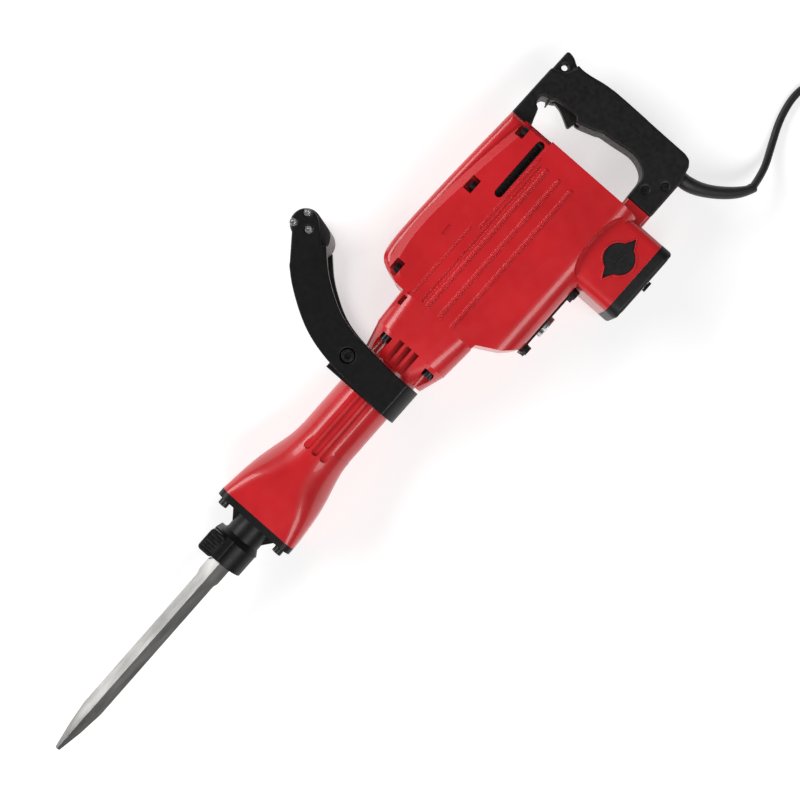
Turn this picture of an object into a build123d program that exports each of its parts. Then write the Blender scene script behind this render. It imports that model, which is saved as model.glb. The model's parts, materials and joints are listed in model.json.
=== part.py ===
from build123d import *
import os
from math import acos, cos, pi, radians, sin, tan

# Demolition hammer lying on its side, in millimetres.
# While it is drawn, X is the tool axis, from the chisel (-X) to the rear grip (+X),
# Y points from the tail cover to the side handle and Z points up from the floor, and the
# origin is where the tool axis leaves the front cover. save() moves each finished piece so
# that the origin becomes the middle of the footprint, on the floor.

# ---- overall ----
TIP_X = -318.0            # point of the chisel
REAR_X = 757.0            # back of the rear grip
LOW_Y = -173.0            # ends of the tail cover's screws
SIDE = 60.0               # half thickness of the housing
RIB = 2.0                 # height of the ribs on its two sides
FLOOR_Z = -(SIDE + RIB)   # the hammer rests on the ribs of one side

# ---- side handle ----
BAND_X0, BAND_X1 = 266.0, 314.0
BAND_R = 46.0             # outside of the strap
STRAP_IN = 38.3           # inside of the strap, over the barrel
ARM_Z0, ARM_Z1 = 46.0, 62.0
ARM_WIDTH = 46.0
GRIP_AT = (380.0, 193.0)
ARM_END_R = 17.0
SIDE_GRIP_R = 19.5
GRIP_HEEL_AT, GRIP_HEEL_R = (374.5, 175.5), 20.5
CLAMP_AT = (293.5, 48.0)
HIGH_Y = GRIP_AT[1] + SIDE_GRIP_R

# ---- tool end ----
HEX_BODY = 26.0           # chisel across flats
HEX_SHANK = 30.0          # shank across flats
SHOULDER_X = -29.0
SHANK_END_X = 95.0
SLEEVE_R = 20.5
PIN_AT = (12.0, 18.0)     # axis of the tool retainer
PIN_R = 7.0
FIT = 0.05                # running clearance of a shaft in its hole, on the radius
GAP = 0.3                 # clearance between neighbours that move

# ---- cylinder and hammer mechanism ----
FLANGE_X = 72.0           # joint of the front cover and the cylinder case
CASE_REAR_X = 350.0       # joint of the cylinder case and the main housing
BARREL_R = 38.0
LINER_R = 32.5
BORE_R = 27.5
PISTON_AT = 376.0         # piston pin at front dead centre
CRANK_THROW = 20.0
PISTON_ROOM = 32.0        # how far the piston's bore runs into the crank chamber

# ---- gear train, all shafts parallel to Y in the plane z = 0 ----
PRESSURE_ANGLE = radians(25)
M_FAST, M_SLOW = 1.5, 2.0         # gear modules
Z_ARM, Z_INTER = 12, 48           # armature pinion and the wheel that it drives
Z_PINION, Z_CRANK = 12, 46        # second pinion and the crank wheel
MOTOR_X = 598.0
INTER_X = MOTOR_X - M_FAST * (Z_ARM + Z_INTER) / 2
CRANK_X = INTER_X - M_SLOW * (Z_PINION + Z_CRANK) / 2

# ---- main housing and covers ----
HOUSING_X0, HOUSING_X1 = 398.0, 650.0
SEAM_FRONT_Y, SEAM_REAR_Y = 41.0, 32.5
SEAM_STEP_X = 513.0
BOTTOM_Y = -104.5
BOTTOM_FILLET = 28.0
MOTOR_BORE_R = 44.0
MOTOR_LOW_Y = -150.0
BRUSH_Y = -121.0

# ---- rear grip ----
GRIP_HALF = 20.0
PIVOT_AT = (708.0, 62.0)  # trigger pivot

# ---- power cord ----
CORD_R = 5.0
COIL_AT = (958.0, -251.0)
COIL_RADII = (40.0, 50.0, 60.0, 70.0)

SHIFT = Vector(-(TIP_X + REAR_X) / 2, -(LOW_Y + HIGH_Y) / 2, -FLOOR_Z)


def save(part, name):
    """Label a finished part, move it to the row's frame and write it."""
    placed = part.moved(Location(SHIFT))
    placed.label = name
    export_step(placed, "parts/" + name + ".step")


def along_x(x):
    """Plane across the tool axis: its x is +Y, its y is +Z and it faces +X."""
    return Plane(origin=(x, 0, 0), x_dir=(0, 1, 0), z_dir=(1, 0, 0))


def along_y(x, y, z=0.0):
    """Plane across a motor shaft: its x is +X, its y is -Z and it faces +Y."""
    return Plane(origin=(x, y, z), x_dir=(1, 0, 0), z_dir=(0, 1, 0))


def up_z(x, y, z):
    """Plane parallel to the floor, facing +Z."""
    return Plane(origin=(x, y, z), x_dir=(1, 0, 0), z_dir=(0, 0, 1))


os.makedirs("parts", exist_ok=True)

# =====================================================================================
# Tool end: chisel, front cover, sleeve and retainer
# =====================================================================================
TAPER_X = -250.0
TIP_FLATS = 6.5           # across flats at the point, and where the taper changes
BLUNT_X, BLUNT_FLATS = TIP_X + 34, 18.5
NOTCH_X0, NOTCH_X1 = -11.5, 23.5
NOTCH_Y = 10.7

with BuildPart() as chisel:
    with BuildSketch(along_x(TAPER_X)):
        RegularPolygon(HEX_BODY / 2, 6, major_radius=False, rotation=90)
    extrude(amount=SHOULDER_X - 6 - TAPER_X)
    with BuildSketch(along_x(SHOULDER_X - 6)):
        RegularPolygon(HEX_BODY / 2, 6, major_radius=False, rotation=90)
    with BuildSketch(along_x(SHOULDER_X)):
        RegularPolygon(HEX_SHANK / 2, 6, major_radius=False, rotation=90)
    loft(ruled=True)
    with BuildSketch(along_x(SHOULDER_X)):
        RegularPolygon(HEX_SHANK / 2, 6, major_radius=False, rotation=90)
    extrude(amount=SHANK_END_X - SHOULDER_X)
    for x0, flats0, x1, flats1 in (
        (TIP_X, TIP_FLATS, BLUNT_X, BLUNT_FLATS), (BLUNT_X, BLUNT_FLATS, TAPER_X, HEX_BODY),
    ):
        with BuildSketch(along_x(x0)):
            RegularPolygon(flats0 / 2, 6, major_radius=False, rotation=90)
        with BuildSketch(along_x(x1)):
            RegularPolygon(flats1 / 2, 6, major_radius=False, rotation=90)
        loft(ruled=True)
    chamfer(chisel.faces().sort_by(Axis.X)[-1].edges(), 2)
    # notch for the retainer, in the flat that faces +Y
    with BuildSketch(up_z((NOTCH_X0 + NOTCH_X1) / 2, NOTCH_Y + 5, -20)):
        RectangleRounded(NOTCH_X1 - NOTCH_X0, 10, 4.5)
    extrude(amount=40, mode=Mode.SUBTRACT)
save(chisel.part, "chisel")

HEAD_X0, HEAD_X1 = -4.0, 27.0
HEAD_R = 28.0
NECK_R = 24.0
FLANGE_THICK = 9.0
SPIGOT_END_X = 112.0
SLEEVE_X0, SLEEVE_X1 = 2.0, 108.0
FLANGE_HALF_Y, FLANGE_HALF_Z, FLANGE_CORNER_R = 57.0, 55.0, 15.0
MOUTH_R = 18.3            # round mouth that the shank passes
WEB_X0, WEB_THICK = 42.0, 8.0
HOUSING_BLOCK_Z = 29.0    # half width of the block that carries the retainer
HEAD_BACK_X = HEAD_X1 + 8 # end of the cone behind the head
SPRING_SEAT_Z = -18.0
SPRING_WELL_R = 9.5
FRONT_BOLTS = [(44.0, 42.0), (44.0, -42.0), (-44.0, 42.0), (-44.0, -42.0)]
BOLT_R = 4.0
BOLT_HEAD_R, BOLT_HEAD_H = 6.25, 8.5
SOCKET_R, SOCKET_DEEP = 3.2, 4.5

with BuildPart() as front_cover:
    with BuildSketch(along_x(HEAD_X0)):
        Circle(HEAD_R)
    extrude(amount=HEAD_X1 - HEAD_X0)
    with BuildSketch(along_x(HEAD_X0)):
        with Locations((17.5, 0)):
            RectangleRounded(31, 2 * HOUSING_BLOCK_Z, 3)
    extrude(amount=HEAD_X1 + 1 - HEAD_X0)
    with BuildSketch(along_x(HEAD_X1)):
        Circle(NECK_R + 5)
    with BuildSketch(along_x(HEAD_BACK_X)):
        Circle(NECK_R)
    loft(ruled=True)
    with BuildSketch(along_x(HEAD_BACK_X)):
        Circle(NECK_R)
    extrude(amount=FLANGE_X - HEAD_BACK_X)
    with BuildSketch(along_x(FLANGE_X - FLANGE_THICK)):
        RectangleRounded(2 * FLANGE_HALF_Y, 2 * FLANGE_HALF_Z, FLANGE_CORNER_R)
    extrude(amount=FLANGE_THICK)
    # two webs from the neck to the flange
    for side in (1, -1):
        with BuildSketch(up_z(0, 0, -WEB_THICK / 2)):
            with BuildLine():
                Polyline(
                    (WEB_X0, side * (NECK_R - 1)), (FLANGE_X - FLANGE_THICK + 1, side * (NECK_R - 1)),
                    (FLANGE_X - FLANGE_THICK + 1, side * 40), (WEB_X0, side * (NECK_R - 1)),
                )
            make_face()
        extrude(amount=WEB_THICK)
    with BuildSketch(along_x(FLANGE_X)):
        Circle(LINER_R)
    extrude(amount=SPIGOT_END_X - FLANGE_X)
    # bore for the sleeve, and the round mouth that the shank passes
    with BuildSketch(along_x(SLEEVE_X0)):
        Circle(SLEEVE_R + FIT)
    extrude(amount=SPIGOT_END_X - SLEEVE_X0, mode=Mode.SUBTRACT)
    with BuildSketch(along_x(HEAD_X0)):
        Circle(MOUTH_R)
    extrude(amount=SLEEVE_X0 - HEAD_X0, mode=Mode.SUBTRACT)
    # cross hole for the retainer, and the well for its spring
    with BuildSketch(up_z(*PIN_AT, -40)):
        Circle(PIN_R + FIT)
    extrude(amount=80, mode=Mode.SUBTRACT)
    with BuildSketch(up_z(*PIN_AT, -40)):
        Circle(SPRING_WELL_R)
    extrude(amount=SPRING_SEAT_Z + 40, mode=Mode.SUBTRACT)
    with BuildSketch(along_x(FLANGE_X - FLANGE_THICK)):
        with Locations(*FRONT_BOLTS):
            Circle(BOLT_R + FIT)
    extrude(amount=FLANGE_THICK, mode=Mode.SUBTRACT)
save(front_cover.part, "front_cover")

with BuildPart() as tool_sleeve:
    with BuildSketch(along_x(SLEEVE_X0)):
        Circle(SLEEVE_R)
        RegularPolygon(HEX_SHANK / 2 + 0.2, 6, major_radius=False, rotation=90, mode=Mode.SUBTRACT)
    extrude(amount=SLEEVE_X1 - SLEEVE_X0)
    with BuildSketch(up_z(*PIN_AT, -40)):
        Circle(PIN_R + GAP)
    extrude(amount=80, mode=Mode.SUBTRACT)
save(tool_sleeve.part, "tool_sleeve")

RETAINER_END_Z = -29.0
LEVER_Z0, LEVER_Z1 = 29.4, 44.0
LEVER_AT = (11.5, 23.0)
PIN_FLAT = 2.7            # depth of the pin's flat, from its axis

with BuildPart() as tool_retainer:
    with BuildSketch(up_z(*PIN_AT, RETAINER_END_Z)):
        Circle(PIN_R)
    extrude(amount=LEVER_Z0 - RETAINER_END_Z + 1)
    # the flat that lets the shank out when the lever is turned half a turn
    with BuildSketch(up_z(PIN_AT[0], PIN_AT[1] + PIN_FLAT + 5, -19)):
        Rectangle(20, 10)
    extrude(amount=38, mode=Mode.SUBTRACT)
    # washer that the spring pushes on
    with BuildSketch(up_z(*PIN_AT, RETAINER_END_Z)):
        Circle(SPRING_WELL_R - GAP)
    extrude(amount=2)
    # lever with finger grooves
    with BuildSketch(up_z(*LEVER_AT, LEVER_Z0)):
        RectangleRounded(31, 22, 5)
    extrude(amount=LEVER_Z1 - LEVER_Z0)
    chamfer(tool_retainer.faces().sort_by(Axis.Z)[-1].edges(), 1.2)
    with BuildSketch(up_z(*LEVER_AT, LEVER_Z1 - 1.5)):
        with GridLocations(4.4, 0, 6, 1):
            Rectangle(1.6, 15)
    extrude(amount=4, mode=Mode.SUBTRACT)
save(tool_retainer.part, "tool_retainer")

SPRING_WIRE_R, SPRING_R, SPRING_LOW_Z = 0.6, 8.2, SPRING_SEAT_Z - 8.1
with BuildPart() as retainer_spring:
    with BuildLine():
        Helix(pitch=2.0, height=7.4, radius=SPRING_R, center=(*PIN_AT, SPRING_LOW_Z))
    with BuildSketch(along_y(PIN_AT[0] + SPRING_R, PIN_AT[1], SPRING_LOW_Z)):
        Circle(SPRING_WIRE_R)
    sweep(is_frenet=True)
save(retainer_spring.part, "retainer_spring")

with BuildPart() as front_cover_bolts:
    with BuildSketch(along_x(FLANGE_X - FLANGE_THICK - BOLT_HEAD_H)):
        with Locations(*FRONT_BOLTS):
            Circle(BOLT_HEAD_R)
    extrude(amount=BOLT_HEAD_H)
    with BuildSketch(along_x(FLANGE_X - FLANGE_THICK)):
        with Locations(*FRONT_BOLTS):
            Circle(BOLT_R)
    extrude(amount=30)
    with BuildSketch(along_x(FLANGE_X - FLANGE_THICK - BOLT_HEAD_H)):
        with Locations(*FRONT_BOLTS):
            RegularPolygon(SOCKET_R, 6, major_radius=False)
    extrude(amount=SOCKET_DEEP, mode=Mode.SUBTRACT)
save(front_cover_bolts.part, "front_cover_bolts")

# =====================================================================================
# Cylinder case, liner and the parts that slide in it
# =====================================================================================
# half height, half width and corner radius of the case along the flared front
FLARE = [
    (FLANGE_X, FLANGE_HALF_Y, FLANGE_HALF_Z, FLANGE_CORNER_R),
    (100.0, 54.5, 53.0, 24.0),
    (125.0, 51.3, 50.5, 36.0),
    (150.0, 45.8, 45.5, 43.0),
    (172.0, 40.5, 40.5, 40.0),
    (192.0, BARREL_R + 0.5, BARREL_R + 0.5, BARREL_R + 0.3),
]
NECK_X = 318.0
CASE_MID_Y = -3.0         # the rear flange sits a little below the tool axis
FLUTE_Z = 34.8            # floor of the flutes on the barrel
FLUTE_X0, FLUTE_X1 = 174.0, 292.0
BARREL_FLUTES = (14.0, 1.0, -12.0)
NECK_FLUTE_Z = 40.0
NECK_FLUTES = (10.0, -1.5, -13.0)
CASE_BOLTS = [(28.5, 38.0), (28.5, -38.0), (-39.0, 38.0), (-39.0, -38.0)]
CASE_BOLT_ROOM = 8.0      # radius of the channels that take the bolts' heads
CASE_FLANGE = 5.5         # thickness of the rear flange under the heads
CASE_SEAT_X = CASE_REAR_X - CASE_FLANGE
BOLT_IN_HOUSING = 24.0

with BuildPart() as cylinder_case:
    for x, half_y, half_z, corner in FLARE:
        with BuildSketch(along_x(x)):
            RectangleRounded(2 * half_y, 2 * half_z, corner)
    loft()
    with BuildSketch(along_x(FLARE[-1][0] - 1)):
        Circle(BARREL_R)
    extrude(amount=NECK_X - FLARE[-1][0] + 1)
    with BuildSketch(along_x(NECK_X)):
        with Locations((-1.5, 0)):
            RectangleRounded(88, 84, 34)
    with BuildSketch(along_x(CASE_REAR_X)):
        with Locations((CASE_MID_Y, 0)):
            RectangleRounded(106, 104, 26)
    loft()
    # flutes: three channels on each side of the barrel and of the rear neck
    for side in (1, -1):
        for y in BARREL_FLUTES:
            with BuildSketch(up_z((FLUTE_X0 + FLUTE_X1) / 2, y, side * (FLUTE_Z + 5))):
                RectangleRounded(FLUTE_X1 - FLUTE_X0, 9.5, 4)
            extrude(amount=5, both=True, mode=Mode.SUBTRACT)
        for y in NECK_FLUTES:
            with BuildSketch(up_z((NECK_X + CASE_REAR_X) / 2 + 4, y, side * (NECK_FLUTE_Z + 8))):
                Rectangle(CASE_REAR_X - NECK_X, 7.5)
            extrude(amount=8, both=True, mode=Mode.SUBTRACT)
    with BuildSketch(along_x(FLANGE_X)):
        Circle(LINER_R + FIT)
    extrude(amount=CASE_REAR_X - FLANGE_X, mode=Mode.SUBTRACT)
    with BuildSketch(along_x(FLANGE_X)):
        with Locations(*FRONT_BOLTS):
            Circle(BOLT_R + FIT)
    extrude(amount=24, mode=Mode.SUBTRACT)
    # channels for the heads of the rear bolts, each with a window on the side
    with BuildSketch(along_x(NECK_X - 2)):
        with Locations(*CASE_BOLTS):
            Circle(CASE_BOLT_ROOM)
    extrude(amount=CASE_SEAT_X - NECK_X + 2, mode=Mode.SUBTRACT)
    for y, z in CASE_BOLTS:
        with BuildSketch(up_z(CASE_SEAT_X - 9, y, z)):
            Rectangle(18, 14)
        extrude(amount=20 if z > 0 else -20, mode=Mode.SUBTRACT)
    with BuildSketch(along_x(NECK_X)):
        with Locations(*CASE_BOLTS):
            Circle(BOLT_R + FIT)
    extrude(amount=40, mode=Mode.SUBTRACT)
save(cylinder_case.part, "cylinder_case")

with BuildPart() as case_bolts:
    with BuildSketch(along_x(CASE_SEAT_X - BOLT_HEAD_H)):
        with Locations(*CASE_BOLTS):
            Circle(BOLT_HEAD_R)
    extrude(amount=BOLT_HEAD_H)
    with BuildSketch(along_x(CASE_SEAT_X)):
        with Locations(*CASE_BOLTS):
            Circle(BOLT_R)
    extrude(amount=CASE_FLANGE + BOLT_IN_HOUSING)
    with BuildSketch(along_x(CASE_SEAT_X - BOLT_HEAD_H)):
        with Locations(*CASE_BOLTS):
            RegularPolygon(SOCKET_R, 6, major_radius=False)
    extrude(amount=SOCKET_DEEP, mode=Mode.SUBTRACT)
save(case_bolts.part, "case_bolts")

LINER_X0, LINER_X1 = 118.0, 404.0
with BuildPart() as cylinder:
    with BuildSketch(along_x(LINER_X0)):
        Circle(LINER_R)
        Circle(BORE_R, mode=Mode.SUBTRACT)
    extrude(amount=LINER_X1 - LINER_X0)
save(cylinder.part, "cylinder")


def turned(profile):
    """Face in the XY plane above the tool axis, from (x, radius) corners, for a revolve."""
    with BuildSketch() as half:
        with BuildLine():
            Polyline((profile[0][0], 0), *profile, (profile[-1][0], 0), (profile[0][0], 0))
        make_face()
    return half.sketch


SLIDE_R = BORE_R - 0.08
with BuildPart() as impact_bolt:
    add(turned([(112, 14), (113, 15), (140, 15), (140, SLIDE_R), (172, SLIDE_R), (175, 24), (175, 14),
                (199, 14), (200, 13)]))
    revolve(axis=Axis.X)
save(impact_bolt.part, "impact_bolt")

with BuildPart() as impact_damper:
    with BuildSketch(along_x(LINER_X0 + 6)):
        Circle(BORE_R - 0.02)
        Circle(15.4, mode=Mode.SUBTRACT)
    extrude(amount=14)
    fillet(impact_damper.edges().filter_by(GeomType.CIRCLE), 1)
save(impact_damper.part, "impact_damper")

STRIKER_X0, STRIKER_X1 = 225.0, 300.0
RING_X0, RING_W, RING_DEEP = 284.0, 4.0, 3.0
with BuildPart() as striker:
    add(turned([(STRIKER_X0, 19), (STRIKER_X0 + 1, 20), (236, 20), (238, SLIDE_R), (RING_X0, SLIDE_R),
                (RING_X0, SLIDE_R - RING_DEEP), (RING_X0 + RING_W, SLIDE_R - RING_DEEP),
                (RING_X0 + RING_W, SLIDE_R), (STRIKER_X1 - 1, SLIDE_R), (STRIKER_X1, SLIDE_R - 1)]))
    revolve(axis=Axis.X)
save(striker.part, "striker")


def ring_seal(x):
    """Rubber ring that fills a groove of the bore's sliding parts."""
    with BuildPart() as ring:
        with BuildSketch(along_x(x)):
            Circle(SLIDE_R)
            Circle(SLIDE_R - RING_DEEP, mode=Mode.SUBTRACT)
        extrude(amount=RING_W)
    return ring.part


save(ring_seal(RING_X0), "striker_ring")

PISTON_X0, PISTON_X1 = 350.0, 394.0
PISTON_RING_X = 354.0
PISTON_PIN_R, CRANK_PIN_R = 6.0, 9.0
with BuildPart() as piston:
    add(turned([(PISTON_X0, SLIDE_R - 1), (PISTON_X0 + 1, SLIDE_R), (PISTON_RING_X, SLIDE_R),
                (PISTON_RING_X, SLIDE_R - RING_DEEP), (PISTON_RING_X + RING_W, SLIDE_R - RING_DEEP),
                (PISTON_RING_X + RING_W, SLIDE_R), (PISTON_X1, SLIDE_R)]))
    revolve(axis=Axis.X)
    with BuildSketch(along_x(PISTON_X0 + 12)):
        Circle(20)
    extrude(amount=PISTON_X1 - PISTON_X0 - 12, mode=Mode.SUBTRACT)
    with BuildSketch(along_y(PISTON_AT, -BORE_R)):
        Circle(PISTON_PIN_R)
    extrude(amount=2 * BORE_R, mode=Mode.SUBTRACT)
save(piston.part, "piston")
save(ring_seal(PISTON_RING_X), "piston_ring")

with BuildPart() as piston_pin:
    with BuildSketch(along_y(PISTON_AT, -24)):
        Circle(PISTON_PIN_R)
    extrude(amount=48)
save(piston_pin.part, "piston_pin")

CRANK_PIN_X = CRANK_X - CRANK_THROW
BIG_END_HALF = 12.0
with BuildPart() as connecting_rod:
    with BuildSketch(along_y(PISTON_AT, -9)):
        Circle(11)
    extrude(amount=18)
    with BuildSketch(along_y(CRANK_PIN_X, -BIG_END_HALF)):
        Circle(16.5)
    extrude(amount=2 * BIG_END_HALF)
    with BuildSketch(along_y((PISTON_AT + CRANK_PIN_X) / 2, -6)):
        Rectangle(CRANK_PIN_X - PISTON_AT - 16, 13)
    extrude(amount=12)
    with BuildSketch(along_y(PISTON_AT, -20)):
        Circle(PISTON_PIN_R + FIT)
    extrude(amount=40, mode=Mode.SUBTRACT)
    with BuildSketch(along_y(CRANK_PIN_X, -20)):
        Circle(CRANK_PIN_R)
    extrude(amount=40, mode=Mode.SUBTRACT)
save(connecting_rod.part, "connecting_rod")

with BuildPart() as crank_pin:
    with BuildSketch(along_y(CRANK_PIN_X, -BIG_END_HALF)):
        Circle(CRANK_PIN_R)
    extrude(amount=2 * BIG_END_HALF)
save(crank_pin.part, "crank_pin")

# =====================================================================================
# Side handle: strap round the barrel, two cast arms, grip and clamp
# =====================================================================================
STRAP_TOP_Y = 60.0
CLAMP_BOLT_R, CLAMP_WELL_R, CLAMP_WELL = 5.0, 9.5, 6.5
with BuildPart() as side_handle_strap:
    with BuildSketch(along_x(BAND_X0)):
        Circle(BAND_R - 0.2)
        with Locations((STRAP_TOP_Y / 2, 0)):
            Rectangle(STRAP_TOP_Y, 2 * BAND_R - 0.4)
        Circle(STRAP_IN, mode=Mode.SUBTRACT)
        with Locations((STRAP_TOP_Y / 2, 0)):
            Rectangle(STRAP_TOP_Y, 2 * STRAP_IN, mode=Mode.SUBTRACT)
    extrude(amount=BAND_X1 - BAND_X0)
    with BuildSketch(up_z(*CLAMP_AT, -60)):
        Circle(CLAMP_BOLT_R + FIT)
    extrude(amount=120, mode=Mode.SUBTRACT)
save(side_handle_strap.part, "side_handle_strap")

ARM_FOOT_Y = -30.0
ARM_LINE = [(297.0, 66.0), (306.0, 98.0), (320.5, 125.0), (339.5, 151.0), (362.0, 173.5)]
SCREW_CIRCLE_R = 12.0
SCREW_ANGLES = (15.0, 255.0, 135.0)
SCREW_WELL_R, SCREW_WELL = 5.3, 5.0
GRIP_SCREW_R = 2.5
FOOT_X = 290.0
GRIP_SCREWS = [
    (GRIP_AT[0] + SCREW_CIRCLE_R * cos(radians(a)), GRIP_AT[1] + 3 + SCREW_CIRCLE_R * sin(radians(a)))
    for a in SCREW_ANGLES
]


ARM_END_DIR = (0.68, 0.73)


def side_arm(side):
    """One cast arm; side is +1 for the upper one and -1 for the one near the floor."""
    outer, inner = side * ARM_Z1, side * ARM_Z0
    depth = side * (ARM_Z0 - ARM_Z1)
    with BuildPart() as arm:
        with BuildSketch(up_z(0, 0, outer)):
            with BuildLine():
                foot = Line((FOOT_X, ARM_FOOT_Y + 4), (FOOT_X + 4, 40))
                curve = Spline(foot @ 1, *ARM_LINE, GRIP_AT, tangents=(foot % 1, ARM_END_DIR))
            trace(line_width=ARM_WIDTH)
            with Locations(GRIP_AT):
                Circle(ARM_END_R)
            with Locations((FOOT_X, ARM_FOOT_Y + 4)):
                Rectangle(ARM_WIDTH, 8)
        extrude(amount=depth)
        # the arm's end is narrower, with a step on the inner side that shows the grip
        with BuildSketch(Plane(origin=(*GRIP_AT, outer), x_dir=(*ARM_END_DIR, 0), z_dir=(0, 0, 1))):
            Polygon((-32, -60), (40, -60), (40, -ARM_END_R), (-29, -ARM_END_R), align=None)
            Polygon((-48, 23.5), (-10, ARM_END_R), (40, ARM_END_R), (40, 60), (-48, 60), align=None)
        extrude(amount=depth, mode=Mode.SUBTRACT)
        with BuildSketch(up_z(*CLAMP_AT, inner - side)):
            Circle(CLAMP_BOLT_R + FIT)
        extrude(amount=side * 20, mode=Mode.SUBTRACT)
        with BuildSketch(up_z(*CLAMP_AT, outer)):
            Circle(CLAMP_WELL_R)
        extrude(amount=-side * CLAMP_WELL, mode=Mode.SUBTRACT)
        with BuildSketch(up_z(0, 0, outer)):
            with Locations(*GRIP_SCREWS):
                Circle(SCREW_WELL_R)
            with Locations(Location((GRIP_SCREWS[2][0] - 7, GRIP_SCREWS[2][1] + 7, 0), 135)):
                Rectangle(20, 2 * SCREW_WELL_R)
        extrude(amount=-side * SCREW_WELL, mode=Mode.SUBTRACT)
        with BuildSketch(up_z(0, 0, outer)):
            with Locations(*GRIP_SCREWS):
                Circle(GRIP_SCREW_R + FIT)
        extrude(amount=-side * 20, mode=Mode.SUBTRACT)
    return arm.part


save(side_arm(1), "side_handle_arm_upper")
save(side_arm(-1), "side_handle_arm_lower")

# oval grip between the arms, reaching a little down the arms from their ends
with BuildPart() as side_grip:
    with BuildSketch(up_z(0, 0, -ARM_Z0)):
        with Locations(GRIP_AT):
            Circle(SIDE_GRIP_R)
        with Locations(GRIP_HEEL_AT):
            Circle(GRIP_HEEL_R)
        make_hull()
    extrude(amount=2 * ARM_Z0)
    with BuildSketch(up_z(0, 0, -ARM_Z0)):
        with Locations(*GRIP_SCREWS):
            Circle(GRIP_SCREW_R)
    extrude(amount=2 * ARM_Z0, mode=Mode.SUBTRACT)
save(side_grip.part, "side_grip")

with BuildPart() as side_grip_screws:
    for side in (1, -1):
        with BuildSketch(up_z(0, 0, side * (ARM_Z1 - SCREW_WELL))):
            with Locations(*GRIP_SCREWS):
                Circle(4.7)
        extrude(amount=side * 3.5)
        with BuildSketch(up_z(0, 0, side * (ARM_Z1 - SCREW_WELL))):
            with Locations(*GRIP_SCREWS):
                Circle(GRIP_SCREW_R)
        extrude(amount=-side * 36)
        with BuildSketch(up_z(0, 0, side * (ARM_Z1 - 1.5))):
            with Locations(*GRIP_SCREWS):
                RegularPolygon(2.0, 6, major_radius=False)
        extrude(amount=-side * 2.2, mode=Mode.SUBTRACT)
save(side_grip_screws.part, "side_grip_screws")

with BuildPart() as clamp_bolt:
    with BuildSketch(up_z(*CLAMP_AT, -ARM_Z1 + 1)):
        Circle(CLAMP_BOLT_R)
    extrude(amount=2 * ARM_Z1 - CLAMP_WELL - 1)
    with BuildSketch(up_z(*CLAMP_AT, ARM_Z1 - CLAMP_WELL)):
        Circle(8)
    extrude(amount=6)
    with BuildSketch(up_z(*CLAMP_AT, ARM_Z1 - 0.5)):
        RegularPolygon(4, 6, major_radius=False)
    extrude(amount=-4, mode=Mode.SUBTRACT)
    # its nut, in the lower arm
    with BuildSketch(up_z(*CLAMP_AT, -ARM_Z1 + 1.5)):
        RegularPolygon(7.5, 6, major_radius=False)
        Circle(CLAMP_BOLT_R + FIT, mode=Mode.SUBTRACT)
    extrude(amount=4.9)
save(clamp_bolt.part, "clamp_bolt_and_nut")

# =====================================================================================
# Main housing
# =====================================================================================
CHAMBER_X0, CHAMBER_X1 = 405.0, 533.0
CHAMBER_TOP_Y = 24.0
MOTOR_BOX_X0, MOTOR_BOX_X1 = 541.0, 647.0
MOTOR_BOX_Z = 52.0
PLATE_X0, PLATE_X1 = 436.0, 540.0
PLATE_HALF_Z = 31.0
RIB_YS = (15.5, -3.8, -23.2)
RIB_X0, RIB_X1 = 402.0, 620.0
RIB_TOP, RIB_SLOPE = 2.4, 35.0    # width of each rib's crest, and how far its flanks lean
RIB_FOOT = RIB_TOP + 2 * RIB * tan(radians(RIB_SLOPE))
CRANK_BEARING_R, INTER_BEARING_R, MOTOR_BEARING_R = 26.0, 13.0, 16.0
COVER_BOLTS = [(413.0, 69.0), (548.0, 66.0), (638.0, 62.5)]   # x and seat height of each head
COVER_BOLT_Z = 53.5
COVER_BOLT_R = 3.0
CAP_R = 19.6
CAP_DEEP = 4.5            # depth of the recess that takes a brush cap
LIP, LIP_HEIGHT = 2.4, 1.2
STUB_X0, STUB_X = 620.0, 666.0
STUB_Y, STUB_HIGH = -98.2, 38.6
SMALL_SCREW_R = 2.5
BRUSH_HOLDER_R = 9.4


def cap_outline(clearance):
    """Round brush cap with two pointed ears, seen from the side of the motor."""
    with BuildSketch() as outline:
        Circle(CAP_R + clearance)
        with BuildLine():
            Polyline((-31 - clearance, 0), (0, 17 + clearance), (31 + clearance, 0),
                     (0, -17 - clearance), (-31 - clearance, 0))
        make_face()
    return outline.sketch


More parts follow.
